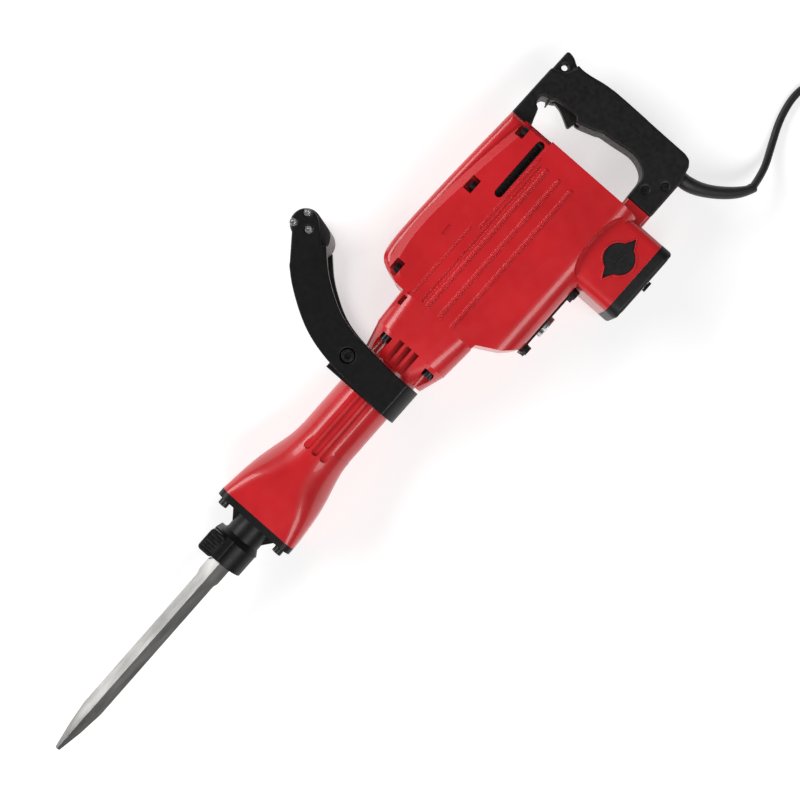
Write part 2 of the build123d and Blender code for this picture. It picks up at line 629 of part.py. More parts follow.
with BuildPart() as main_housing:
    # crank case and motor case: outline from the side, rounded along its lower edges
    with BuildSketch(up_z(0, 0, -SIDE)):
        with BuildLine():
            Polyline(
                (HOUSING_X0, SEAM_FRONT_Y), (HOUSING_X0, -58), (405, -59.5), (413, -74), (421, -88),
                (431, -98), (440, BOTTOM_Y), (HOUSING_X1, BOTTOM_Y), (HOUSING_X1, SEAM_REAR_Y),
                (SEAM_STEP_X, SEAM_REAR_Y), (SEAM_STEP_X, SEAM_FRONT_Y), (HOUSING_X0, SEAM_FRONT_Y),
            )
        make_face()
    extrude(amount=2 * SIDE)
    with BuildSketch(along_x(HOUSING_X0)):
        with Locations((-20, 0)):
            Rectangle(2 * 84.5, 2 * SIDE + 2)
        with Locations((-20 + 40, 0)):
            Rectangle(2 * 84.5, 2 * SIDE, mode=Mode.SUBTRACT)
        with Locations((0, 0)):
            Rectangle(2 * (-BOTTOM_Y - BOTTOM_FILLET), 2 * SIDE, mode=Mode.SUBTRACT)
        for z in (SIDE - BOTTOM_FILLET, BOTTOM_FILLET - SIDE):
            with Locations((BOTTOM_Y + BOTTOM_FILLET, z)):
                Circle(BOTTOM_FILLET, mode=Mode.SUBTRACT)
        with Locations((BOTTOM_Y + BOTTOM_FILLET / 2, 0)):
            Rectangle(BOTTOM_FILLET, 2 * (SIDE - BOTTOM_FILLET), mode=Mode.SUBTRACT)
    extrude(amount=HOUSING_X1 - HOUSING_X0, mode=Mode.SUBTRACT)
    # neck towards the cylinder case
    with BuildSketch(along_x(CASE_REAR_X)):
        with Locations((CASE_MID_Y, 0)):
            RectangleRounded(107, 105, 26)
    with BuildSketch(along_x(HOUSING_X0)):
        with Locations((-3.5, 0)):
            RectangleRounded(112, 2 * SIDE, 22)
    loft()
    # motor case
    with BuildSketch(along_y((MOTOR_BOX_X0 + MOTOR_BOX_X1) / 2, MOTOR_LOW_Y)):
        RectangleRounded(MOTOR_BOX_X1 - MOTOR_BOX_X0, 2 * MOTOR_BOX_Z, 16)
    extrude(amount=70)
    # stub that carries the foot of the rear grip
    with BuildSketch(along_x(STUB_X0)):
        with Locations((STUB_Y, 0)):
            RectangleRounded(STUB_HIGH, 2 * GRIP_HALF, 5)
    extrude(amount=STUB_X - STUB_X0)
    for side in (1, -1):
        # ribs, seam ledges and the groove above the ribs
        for y in RIB_YS:
            with BuildSketch(up_z((RIB_X0 + RIB_X1) / 2, y, side * SIDE)):
                SlotOverall(RIB_X1 - RIB_X0 + RIB_FOOT - RIB_TOP, RIB_FOOT)
            extrude(amount=side * RIB, taper=RIB_SLOPE)
        with BuildSketch(up_z(511, 23.5, side * SIDE)):
            SlotOverall(218, 3.4)
        extrude(amount=-side * 1.4, mode=Mode.SUBTRACT)
        for x0, x1, seam_y in (
            (HOUSING_X0 + 4, SEAM_STEP_X - 5, SEAM_FRONT_Y), (SEAM_STEP_X, HOUSING_X1 - 25, SEAM_REAR_Y),
        ):
            with BuildSketch(up_z((x0 + x1) / 2, seam_y - 1.6, side * (SIDE - 1))):
                Rectangle(x1 - x0, 2.2)
            extrude(amount=side * 2)
        # arched flat over the brush cap
        with BuildSketch(up_z(594, -99, side * MOTOR_BOX_Z)):
            Ellipse(47, 16)
            with Locations((0, -10)):
                Rectangle(94, 20)
        extrude(amount=side * 14, taper=-25, mode=Mode.SUBTRACT)
        # pocket for the front screw of the gear cover
        with BuildSketch(up_z(388, 43.5, side * (SIDE - 16))):
            Rectangle(13, 6)
        extrude(amount=side * 20, mode=Mode.SUBTRACT)
        # brush cap recess with a raised lip, and the brush holder's hole
        add(cap_outline(LIP).moved(Location((MOTOR_X, BRUSH_Y, side * MOTOR_BOX_Z))))
        extrude(amount=side * LIP_HEIGHT)
        add(cap_outline(0.2).moved(Location((MOTOR_X, BRUSH_Y, side * (MOTOR_BOX_Z - CAP_DEEP)))))
        extrude(amount=side * (CAP_DEEP + 2 * LIP_HEIGHT), mode=Mode.SUBTRACT)
        with BuildSketch(up_z(MOTOR_X, BRUSH_Y, 0)):
            Circle(BRUSH_HOLDER_R + 0.1)
        extrude(amount=side * MOTOR_BOX_Z, mode=Mode.SUBTRACT)
    # liner seat and crank chamber
    with BuildSketch(along_x(CASE_REAR_X)):
        Circle(LINER_R + FIT)
    extrude(amount=CHAMBER_X0 - CASE_REAR_X, mode=Mode.SUBTRACT)
    with BuildSketch(along_x(CHAMBER_X0)):
        Circle(BORE_R + 0.5)
    extrude(amount=PISTON_ROOM, mode=Mode.SUBTRACT)
    with BuildSketch(along_y((CHAMBER_X0 + CHAMBER_X1) / 2, -48)):
        RectangleRounded(CHAMBER_X1 - CHAMBER_X0, 96, 8)
    extrude(amount=CHAMBER_TOP_Y + 48, mode=Mode.SUBTRACT)
    with BuildSketch(along_y(486, -95)):
        RectangleRounded(92, 80, 8)
    extrude(amount=60, mode=Mode.SUBTRACT)
    with BuildSketch(along_y((PLATE_X0 + PLATE_X1) / 2, BOTTOM_Y)):
        RectangleRounded(74, 44, 6)
    extrude(amount=20, mode=Mode.SUBTRACT)
    # shaft holes and bearing seats between the chamber, the motor and the gears
    for x, low, high, radius in (
        (CRANK_X, CHAMBER_TOP_Y, SEAM_FRONT_Y, 22.0), (CRANK_X, 26.5, SEAM_FRONT_Y, CRANK_BEARING_R),
        (INTER_X, 22.5, SEAM_FRONT_Y, INTER_BEARING_R), (MOTOR_X, 10, SEAM_REAR_Y, 11.0),
        (MOTOR_X, 16, 27, MOTOR_BEARING_R), (MOTOR_X, MOTOR_LOW_Y, 10, MOTOR_BORE_R),
    ):
        with BuildSketch(along_y(x, low)):
            Circle(radius)
        extrude(amount=high - low, mode=Mode.SUBTRACT)
    # holes for the bolts of the case, the gear cover and the bottom cover
    with BuildSketch(along_x(CASE_REAR_X)):
        with Locations(*CASE_BOLTS):
            Circle(BOLT_R + FIT)
    extrude(amount=25, mode=Mode.SUBTRACT)
    for side in (1, -1):
        for x, seat in COVER_BOLTS:
            with BuildSketch(along_y(x, 12, side * COVER_BOLT_Z)):
                Circle(COVER_BOLT_R + FIT)
            extrude(amount=40, mode=Mode.SUBTRACT)
        for x in (PLATE_X0 + 7, PLATE_X1 - 7):
            with BuildSketch(along_y(x, BOTTOM_Y, side * 26)):
                Circle(SMALL_SCREW_R + FIT)
            extrude(amount=8, mode=Mode.SUBTRACT)
        for x in (MOTOR_BOX_X0 + 8, MOTOR_BOX_X1 - 8):
            with BuildSketch(along_y(x, MOTOR_LOW_Y, side * 43)):
                Circle(SMALL_SCREW_R + FIT)
            extrude(amount=20, mode=Mode.SUBTRACT)
save(main_housing.part, "main_housing")

# =====================================================================================
# Covers of the main housing
# =====================================================================================
DOME_Z = 48.0
GEAR_ROOM_TOP_Y = 79.5
COVER_X1 = HOUSING_X1

with BuildPart() as gear_cover:
    # dome
    with BuildSketch(up_z(0, 0, -DOME_Z)):
        with BuildLine():
            front = Spline((HOUSING_X0, 56), (401, 72), (408, 91), (425, 100.5), tangents=((0, 1), (1, 0.15)))
            top = Spline(front @ 1, (470, 102.3), (540, 100.6), (COVER_X1, 95.4),
                         tangents=((1, 0.15), (1, -0.05)))
            Polyline(top @ 1, (COVER_X1, SEAM_REAR_Y), (SEAM_STEP_X, SEAM_REAR_Y),
                     (SEAM_STEP_X, SEAM_FRONT_Y), (HOUSING_X0, SEAM_FRONT_Y), front @ 0)
        make_face()
    extrude(amount=2 * DOME_Z)
    fillet(gear_cover.edges().group_by(Axis.Z)[-1].sort_by(Axis.Y)[-2:], 12)
    fillet(gear_cover.edges().group_by(Axis.Z)[0].sort_by(Axis.Y)[-2:], 12)
    # wider lower part, with the long bevel along its top
    for side in (1, -1):
        with BuildSketch(up_z(0, 0, side * 30)):
            with BuildLine():
                nose = Spline((HOUSING_X0, 58), (402, 73), (413, 86), (430, 91), tangents=((0, 1), (1, 0.2)))
                bevel = Spline(nose @ 1, (475, 94.5), (544, 89), (629, 77), (COVER_X1, 73.5),
                               tangents=((1, 0.2), (1, -0.12)))
                Polyline(bevel @ 1, (COVER_X1, SEAM_REAR_Y), (SEAM_STEP_X, SEAM_REAR_Y),
                         (SEAM_STEP_X, SEAM_FRONT_Y), (HOUSING_X0, SEAM_FRONT_Y), nose @ 0)
            make_face()
        extrude(amount=side * (SIDE - 30))
        chamfer(
            gear_cover.edges().group_by(Axis.Z)[-1 if side > 0 else 0].sort_by(Axis.Y)[-2:], 6.5, 10
        )
        for x, seat in COVER_BOLTS:
            with BuildSketch(up_z(x, seat + 6, side * (COVER_BOLT_Z - 7))):
                Rectangle(20, 12)
            extrude(amount=side * 20, mode=Mode.SUBTRACT)
            with BuildSketch(along_y(x, 30, side * COVER_BOLT_Z)):
                Circle(COVER_BOLT_R + FIT)
            extrude(amount=45, mode=Mode.SUBTRACT)
        # vent slot and the small dimple in front of it
        with BuildSketch(up_z(599, 40.5, side * (SIDE + 1))):
            SlotOverall(86, 11)
        extrude(amount=-side * 12, mode=Mode.SUBTRACT)
        with BuildSketch(up_z(487, 59, side * (SIDE - 1.2))):
            SlotOverall(15, 4)
        extrude(amount=side * 4, mode=Mode.SUBTRACT)
    # gear room, shaft ends and seats of the upper bearings
    for x, length, half_z in ((490, 100, 51), (576, 74, 40)):
        with BuildSketch(along_y(x, SEAM_REAR_Y)):
            RectangleRounded(length, 2 * half_z, 6)
        extrude(amount=GEAR_ROOM_TOP_Y - SEAM_REAR_Y, mode=Mode.SUBTRACT)
    for x, radius in ((CRANK_X, 15.0), (INTER_X, 12.0)):
        with BuildSketch(along_y(x, GEAR_ROOM_TOP_Y)):
            Circle(radius)
        extrude(amount=9, mode=Mode.SUBTRACT)
save(gear_cover.part, "gear_cover")

with BuildPart() as gear_cover_bolts:
    for side in (1, -1):
        for x, seat in COVER_BOLTS:
            with BuildSketch(along_y(x, seat, side * COVER_BOLT_Z)):
                Circle(5.6)
            extrude(amount=7)
            with BuildSketch(along_y(x, 14, side * COVER_BOLT_Z)):
                Circle(COVER_BOLT_R)
            extrude(amount=seat - 14)
            with BuildSketch(along_y(x, seat + 7, side * COVER_BOLT_Z)):
                RegularPolygon(2.6, 6, major_radius=False)
            extrude(amount=-3.5, mode=Mode.SUBTRACT)
save(gear_cover_bolts.part, "gear_cover_bolts")

PLATE_THICK = 2.6
PLATE_MID_X = (PLATE_X0 + PLATE_X1) / 2
PLATE_BOLTS = [(x, z) for x in (PLATE_X0 + 7, PLATE_X1 - 7) for z in (26, -26)]
GAUGE_AT = 482.0
with BuildPart() as bottom_cover:
    with BuildSketch(along_y(PLATE_MID_X, BOTTOM_Y - PLATE_THICK)):
        RectangleRounded(PLATE_X1 - PLATE_X0, 2 * PLATE_HALF_Z, 6)
    extrude(amount=PLATE_THICK)
    with BuildSketch(along_y(GAUGE_AT, BOTTOM_Y - PLATE_THICK)):
        Circle(11)
    extrude(amount=PLATE_THICK, mode=Mode.SUBTRACT)
    for x, z in PLATE_BOLTS:
        with BuildSketch(along_y(x, BOTTOM_Y - PLATE_THICK, z)):
            Circle(SMALL_SCREW_R + FIT)
        extrude(amount=PLATE_THICK, mode=Mode.SUBTRACT)
save(bottom_cover.part, "bottom_cover")

with BuildPart() as bottom_cover_bolts:
    for x, z in PLATE_BOLTS:
        with BuildSketch(along_y(x, BOTTOM_Y - PLATE_THICK - 6.5, z)):
            RegularPolygon(5.2, 6, major_radius=False)
        extrude(amount=5)
        with BuildSketch(along_y(x, BOTTOM_Y - PLATE_THICK - 1.5, z)):
            Circle(6.6)
        extrude(amount=1.5)
        with BuildSketch(along_y(x, BOTTOM_Y - PLATE_THICK, z)):
            Circle(SMALL_SCREW_R)
        extrude(amount=9)
save(bottom_cover_bolts.part, "bottom_cover_bolts")

with BuildPart() as oil_gauge:
    with BuildSketch(along_y(GAUGE_AT, BOTTOM_Y - PLATE_THICK)):
        Circle(11 - FIT)
    extrude(amount=PLATE_THICK + 3)
    with BuildSketch(along_y(GAUGE_AT, BOTTOM_Y - PLATE_THICK - 6)):
        Circle(15)
    extrude(amount=6)
    chamfer(oil_gauge.faces().sort_by(Axis.Y)[0].edges(), 1)
    with BuildSketch(along_y(GAUGE_AT, BOTTOM_Y - PLATE_THICK - 6)):
        Circle(8.5)
    extrude(amount=1.2, mode=Mode.SUBTRACT)
save(oil_gauge.part, "oil_gauge")

TAIL_Y = -166.5
TAIL_MID_X = (MOTOR_BOX_X0 + MOTOR_BOX_X1) / 2
TAIL_BEARING_R = 11.0
TAIL_SCREWS = [(x, z) for x in (MOTOR_BOX_X0 + 8, MOTOR_BOX_X1 - 8) for z in (43, -43)]
with BuildPart() as tail_cover:
    with BuildSketch(along_y(TAIL_MID_X, TAIL_Y)):
        RectangleRounded(MOTOR_BOX_X1 - MOTOR_BOX_X0, 2 * MOTOR_BOX_Z, 16)
    extrude(amount=MOTOR_LOW_Y - TAIL_Y)
    fillet(tail_cover.faces().sort_by(Axis.Y)[0].edges(), 5)
    with BuildSketch(along_y(MOTOR_X, TAIL_Y + 4)):
        Circle(MOTOR_BORE_R)
        Circle(TAIL_BEARING_R + 4, mode=Mode.SUBTRACT)
    extrude(amount=20, mode=Mode.SUBTRACT)
    with BuildSketch(along_y(MOTOR_X, TAIL_Y + 5)):
        Circle(TAIL_BEARING_R)
    extrude(amount=20, mode=Mode.SUBTRACT)
    # air slots round the bearing
    for z in (-30, -20, 20, 30):
        with BuildSketch(along_y(MOTOR_X, TAIL_Y - 1, z)):
            SlotOverall(44, 4.5)
        extrude(amount=8, mode=Mode.SUBTRACT)
    for x, z in TAIL_SCREWS:
        with BuildSketch(along_y(x, TAIL_Y, z)):
            Circle(SMALL_SCREW_R + FIT)
        extrude(amount=20, mode=Mode.SUBTRACT)
        with BuildSketch(along_y(x, TAIL_Y, z)):
            Circle(5.4)
        extrude(amount=4, mode=Mode.SUBTRACT)
save(tail_cover.part, "tail_cover")

with BuildPart() as tail_cover_screws:
    for x, z in TAIL_SCREWS:
        with BuildSketch(along_y(x, TAIL_Y + 1, z)):
            Circle(4.8)
        extrude(amount=3)
        with BuildSketch(along_y(x, TAIL_Y + 4, z)):
            Circle(SMALL_SCREW_R)
        extrude(amount=30)
        with BuildSketch(along_y(x, TAIL_Y + 1, z)):
            Rectangle(7, 1.2)
            Rectangle(1.2, 7)
        extrude(amount=1.6, mode=Mode.SUBTRACT)
    # wing screw in the middle of the tail cover
    with BuildSketch(along_y(MOTOR_X + 4, LOW_Y)):
        RectangleRounded(14, 5, 2)
    extrude(amount=3.5)
    with BuildSketch(along_y(MOTOR_X + 4, LOW_Y + 3.5)):
        Circle(3)
    extrude(amount=TAIL_Y - LOW_Y - 3.5)
save(tail_cover_screws.part, "tail_cover_screws")

# =====================================================================================
# Gears and crankshaft
# =====================================================================================
INTER_WHEEL_Y = (45.0, 56.0)
CRANK_WHEEL_Y = (60.0, 75.5)
TOOTH_EASE = 0.12         # taken off each flank for backlash


def involute(angle):
    """Involute function of a pressure angle in radians."""
    return tan(angle) - angle


def gear_face(module, teeth, first_tooth, hub):
    """Spur gear outline round the sketch origin with a hole; first_tooth in degrees."""
    pitch = module * teeth / 2
    base = pitch * cos(PRESSURE_ANGLE)
    tip, root = pitch + 0.9 * module, pitch - 1.25 * module
    half_pitch_angle = (pi * module / 4 - TOOTH_EASE) / pitch

    def half_angle(radius):
        flank = involute(acos(base / max(radius, base)))
        return half_pitch_angle + involute(PRESSURE_ANGLE) - flank

    start = max(base, root)
    radii = [root] + [start + (tip - start) * step / 4 for step in range(5)]
    points = []
    for tooth in range(teeth):
        centre = radians(first_tooth) + 2 * pi * tooth / teeth
        for radius in radii:
            turn = centre - half_angle(radius)
            points.append((radius * cos(turn), radius * sin(turn)))
        for radius in reversed(radii):
            turn = centre + half_angle(radius)
            points.append((radius * cos(turn), radius * sin(turn)))
    distinct = [p for i, p in enumerate(points) if p != points[i - 1]]
    with BuildSketch() as outline:
        with BuildLine():
            Polyline(*distinct, close=True)
        make_face()
        if hub:
            Circle(hub, mode=Mode.SUBTRACT)
    return outline.sketch


def spur_gear(module, teeth, first_tooth, hub, x, low, high):
    """Spur gear on a shaft at x, between two heights along Y."""
    with BuildPart() as gear:
        with BuildSketch(along_y(x, low)):
            add(gear_face(module, teeth, first_tooth, hub))
        extrude(amount=high - low)
    return gear.part


JOURNAL_R = 12.5
DISC_R = 32.0
with BuildPart() as crankshaft:
    with BuildSketch(along_y(CRANK_X, BIG_END_HALF + GAP)):
        Circle(DISC_R)
    extrude(amount=CHAMBER_TOP_Y - BIG_END_HALF - GAP - 1)
    for low, high, radius in (
        (CHAMBER_TOP_Y - 1, INTER_WHEEL_Y[1], JOURNAL_R - FIT), (INTER_WHEEL_Y[1], CRANK_WHEEL_Y[1], 11.0),
        (CRANK_WHEEL_Y[1], GEAR_ROOM_TOP_Y + 7.5, 8.0 - FIT),
    ):
        with BuildSketch(along_y(CRANK_X, low)):
            Circle(radius)
        extrude(amount=high - low)
    # eye of the crank, open where the crank pin sits
    with BuildSketch(along_y(CRANK_X, BIG_END_HALF + GAP)):
        with Locations((DISC_R / 2 + 10, 24), (DISC_R / 2 + 10, -24)):
            Circle(9)
    extrude(amount=CHAMBER_TOP_Y - BIG_END_HALF - GAP - 1, mode=Mode.SUBTRACT)
save(crankshaft.part, "crankshaft")

half_tooth = 180 / Z_CRANK
with BuildPart() as crank_gear:
    add(spur_gear(M_SLOW, Z_CRANK, half_tooth, 11.0, CRANK_X, *CRANK_WHEEL_Y))
    with BuildSketch(along_y(CRANK_X, CRANK_WHEEL_Y[0])):
        with PolarLocations(27, 6):
            Circle(7)
    extrude(amount=CRANK_WHEEL_Y[1] - CRANK_WHEEL_Y[0], mode=Mode.SUBTRACT)
save(crank_gear.part, "crank_gear")

with BuildPart() as intermediate_gear:
    add(spur_gear(M_FAST, Z_INTER, 180 / Z_INTER, 7.0, INTER_X, *INTER_WHEEL_Y))
    with BuildSketch(along_y(INTER_X, INTER_WHEEL_Y[0])):
        with PolarLocations(20, 5):
            Circle(6)
    extrude(amount=INTER_WHEEL_Y[1] - INTER_WHEEL_Y[0], mode=Mode.SUBTRACT)
save(intermediate_gear.part, "intermediate_gear")

with BuildPart() as intermediate_shaft:
    add(spur_gear(M_SLOW, Z_PINION, 0, 0, INTER_X, CRANK_WHEEL_Y[0] - 2, CRANK_WHEEL_Y[1] + 1))
    for low, high, radius in (
        (23.0, CRANK_WHEEL_Y[0] - 2, 7.0), (CRANK_WHEEL_Y[1] + 1, GEAR_ROOM_TOP_Y + 7.5, 7.0),
    ):
        with BuildSketch(along_y(INTER_X, low)):
            Circle(radius - (FIT if high > 60 else 0))
        extrude(amount=high - low)
save(intermediate_shaft.part, "intermediate_shaft")


def bearing(x, low, high, inner, outer):
    """Ball bearing drawn as its closed ring, with a groove that marks off its two races."""
    middle = (inner + outer) / 2
    with BuildPart() as ring:
        with BuildSketch(along_y(x, low)):
            Circle(outer - FIT)
            Circle(inner, mode=Mode.SUBTRACT)
        extrude(amount=high - low)
        for depth_y in (low, high - 0.8):
            with BuildSketch(along_y(x, depth_y)):
                Circle(middle + 1.5)
                Circle(middle - 1.5, mode=Mode.SUBTRACT)
            extrude(amount=0.8, mode=Mode.SUBTRACT)
    return ring.part


ARM_TOP_BEARING, ARM_TAIL_BEARING = (16.2, 26.8), (TAIL_Y + 5.2, TAIL_Y + 14)

# =====================================================================================
# Motor
# =====================================================================================
SHAFT_R = 8.0
CORE_Y = (-95.0, -30.0)
CORE_R = 27.0
ROTOR_GAP = 0.6
with BuildPart() as armature_shaft:
    add(spur_gear(M_FAST, Z_ARM, 0, 0, MOTOR_X, INTER_WHEEL_Y[0] - 1, INTER_WHEEL_Y[1] + 1))
    for low, high, radius in (
        (ARM_TAIL_BEARING[0] + 0.5, ARM_TAIL_BEARING[1] + 1, 5.0 - FIT),
        (ARM_TAIL_BEARING[1] + 1, ARM_TOP_BEARING[0], SHAFT_R),
        (ARM_TOP_BEARING[0], ARM_TOP_BEARING[1] + 1, 7.5 - FIT),
        (ARM_TOP_BEARING[1] + 1, INTER_WHEEL_Y[0] - 1, 7.0),
    ):
        with BuildSketch(along_y(MOTOR_X, low)):
            Circle(radius)
        extrude(amount=high - low)
save(armature_shaft.part, "armature_shaft")

SLOTS = 14
with BuildPart() as armature_core:
    with BuildSketch(along_y(MOTOR_X, CORE_Y[0])):
        Circle(CORE_R)
        Circle(SHAFT_R, mode=Mode.SUBTRACT)
        with PolarLocations(CORE_R - 5, SLOTS):
            Rectangle(9, 5, mode=Mode.SUBTRACT)
        with PolarLocations(CORE_R - 1, SLOTS):
            Rectangle(4, 1.6, mode=Mode.SUBTRACT)
    extrude(amount=CORE_Y[1] - CORE_Y[0])
save(armature_core.part, "armature_core")

with BuildPart() as armature_windings:
    for low, high in ((CORE_Y[0] - 10, CORE_Y[0]), (CORE_Y[1], CORE_Y[1] + 10)):
        with BuildSketch(along_y(MOTOR_X, low)):
            Circle(CORE_R - 2)
            Circle(SHAFT_R, mode=Mode.SUBTRACT)
        extrude(amount=high - low)
    with BuildSketch(along_y(MOTOR_X, CORE_Y[0])):
        with PolarLocations(CORE_R - 5, SLOTS):
            Rectangle(8, 4.4)
    extrude(amount=CORE_Y[1] - CORE_Y[0])
save(armature_windings.part, "armature_windings")

COMMUTATOR_R = 16.0
with BuildPart() as commutator:
    with BuildSketch(along_y(MOTOR_X, BRUSH_Y - 13)):
        Circle(COMMUTATOR_R)
        Circle(SHAFT_R, mode=Mode.SUBTRACT)
        with PolarLocations(COMMUTATOR_R, 28):
            Rectangle(1.6, 0.7, mode=Mode.SUBTRACT)
    extrude(amount=27)
save(commutator.part, "commutator")

FAN_Y = (-16.0, 2.0)
with BuildPart() as cooling_fan:
    with BuildSketch(along_y(MOTOR_X, FAN_Y[0])):
        Circle(40)
        Circle(SHAFT_R, mode=Mode.SUBTRACT)
    extrude(amount=2.5)
    with BuildSketch(along_y(MOTOR_X, FAN_Y[0])):
        Circle(14)
        Circle(SHAFT_R, mode=Mode.SUBTRACT)
    extrude(amount=FAN_Y[1] - FAN_Y[0])
    with BuildSketch(along_y(MOTOR_X, FAN_Y[0])):
        with PolarLocations(26, 11, start_angle=8):
            Rectangle(26, 2)
    extrude(amount=FAN_Y[1] - FAN_Y[0] - 3)
save(cooling_fan.part, "cooling_fan")

save(Compound(children=[
    bearing(MOTOR_X, *ARM_TOP_BEARING, 7.5, MOTOR_BEARING_R),
    bearing(MOTOR_X, *ARM_TAIL_BEARING, 5.0, TAIL_BEARING_R),
    bearing(INTER_X, 23, 32.4, 7.0 + FIT, INTER_BEARING_R),
    bearing(INTER_X, GEAR_ROOM_TOP_Y + 0.2, GEAR_ROOM_TOP_Y + 8, 7.0, 12.0),
    bearing(CRANK_X, 27, SEAM_FRONT_Y - 0.5, JOURNAL_R, CRANK_BEARING_R),
    bearing(CRANK_X, GEAR_ROOM_TOP_Y + 0.2, GEAR_ROOM_TOP_Y + 8, 8.0, 15.0),
]), "ball_bearings")

with BuildPart() as stator_core:
    with BuildSketch(along_y(MOTOR_X, CORE_Y[0] + 2)):
        Circle(MOTOR_BORE_R - FIT)
        Circle(37, mode=Mode.SUBTRACT)
        with Locations((32, 0), (-32, 0)):
            Rectangle(12, 30)
        Circle(CORE_R + ROTOR_GAP, mode=Mode.SUBTRACT)
    extrude(amount=CORE_Y[1] - CORE_Y[0] - 4)
save(stator_core.part, "stator_core")

with BuildPart() as stator_coils:
    for turn in (0, 180):
        with BuildSketch(along_y(MOTOR_X, CORE_Y[0] - 4)):
            with PolarLocations(0, 1, start_angle=turn):
                with Locations((27.6, 18.2), (27.6, -18.2)):
                    Rectangle(5, 5)
        extrude(amount=CORE_Y[1] - CORE_Y[0] + 8)
save(stator_coils.part, "stator_coils")

CAP_TOP_Z = MOTOR_BOX_Z - 0.6
with BuildPart() as brush_caps:
    for side in (1, -1):
        add(cap_outline(0).moved(Location((MOTOR_X, BRUSH_Y, side * (MOTOR_BOX_Z - CAP_DEEP)))))
        extrude(amount=side * 3.9)
        with BuildSketch(up_z(MOTOR_X, BRUSH_Y, side * CAP_TOP_Z)):
            Rectangle(15, 2)
        extrude(amount=-side * 1.5, mode=Mode.SUBTRACT)
save(brush_caps.part, "brush_caps")

BRUSH_Z0, BRUSH_Z1 = COMMUTATOR_R + 0.2, 33.0
with BuildPart() as brush_holders:
    for side in (1, -1):
        with BuildSketch(up_z(MOTOR_X, BRUSH_Y, side * 19)):
            Circle(BRUSH_HOLDER_R)
            Rectangle(8.3, 12.3, mode=Mode.SUBTRACT)
        extrude(amount=side * (MOTOR_BOX_Z - CAP_DEEP - 19))
save(brush_holders.part, "brush_holders")

with BuildPart() as brushes:
    for side in (1, -1):
        with BuildSketch(up_z(MOTOR_X, BRUSH_Y, side * BRUSH_Z0)):
            Rectangle(8.1, 12.1)
        extrude(amount=side * (BRUSH_Z1 - BRUSH_Z0))
save(brushes.part, "brushes")


def coil_spring(x, y, low_z, high_z, radius, wire, pitch):
    """Open compression spring standing along Z."""
    with BuildPart() as spring:
        with BuildLine():
            Helix(pitch=pitch, height=high_z - low_z - 2 * wire, radius=radius, center=(x, y, low_z + wire))
        with BuildSketch(along_y(x + radius, y, low_z + wire)):
            Circle(wire)
        sweep(is_frenet=True)
    return spring.part


save(Compound(children=[
    coil_spring(MOTOR_X, BRUSH_Y, BRUSH_Z1 + 0.1, MOTOR_BOX_Z - 4.6, 3.2, 0.4, 2.4),
    coil_spring(MOTOR_X, BRUSH_Y, 4.6 - MOTOR_BOX_Z, -BRUSH_Z1 - 0.1, 3.2, 0.4, 2.4),
]), "brush_springs")

# =====================================================================================
# Rear grip, trigger and switch
# =====================================================================================
HANG_HOLE_AT = (738.5, 85.0)
HANG_HOLE_R = 4.2
EAR_HALF = 6.0            # half thickness of the corner that carries the hanging hole
SHELL_SCREWS = {1: [(688.0, -90.0), (707.0, -106.0)], -1: [(716.0, 85.0), (742.0, -40.0)]}
SCREW_SEAT_Z = 16.0       # screw heads sit below the shells' outer faces
SHELL_SCREW_R, SHELL_HEAD_R, SHELL_HEAD_H = 2.2, 4.3, 2.6
TRIGGER_HALF = 6.0
TRIGGER_PIN_R = 2.5
GUARD_MOUTH_X, GUARD_MOUTH_R = 730.5, 10.4
SPRING_ROOM_R, SPRING_ROOM_Z = 6.0, 11.0
BRACKET_X = HOUSING_X1 + 0.2

with BuildPart() as trigger_opening:
    with BuildSketch(up_z(0, 0, -TRIGGER_HALF - GAP)):
        with BuildLine():
            Polyline((680, 68.5), (680, 24), (722, 24), (722, 60), (716, 68.5), (680, 68.5))
        make_face()
    extrude(amount=2 * (TRIGGER_HALF + GAP))


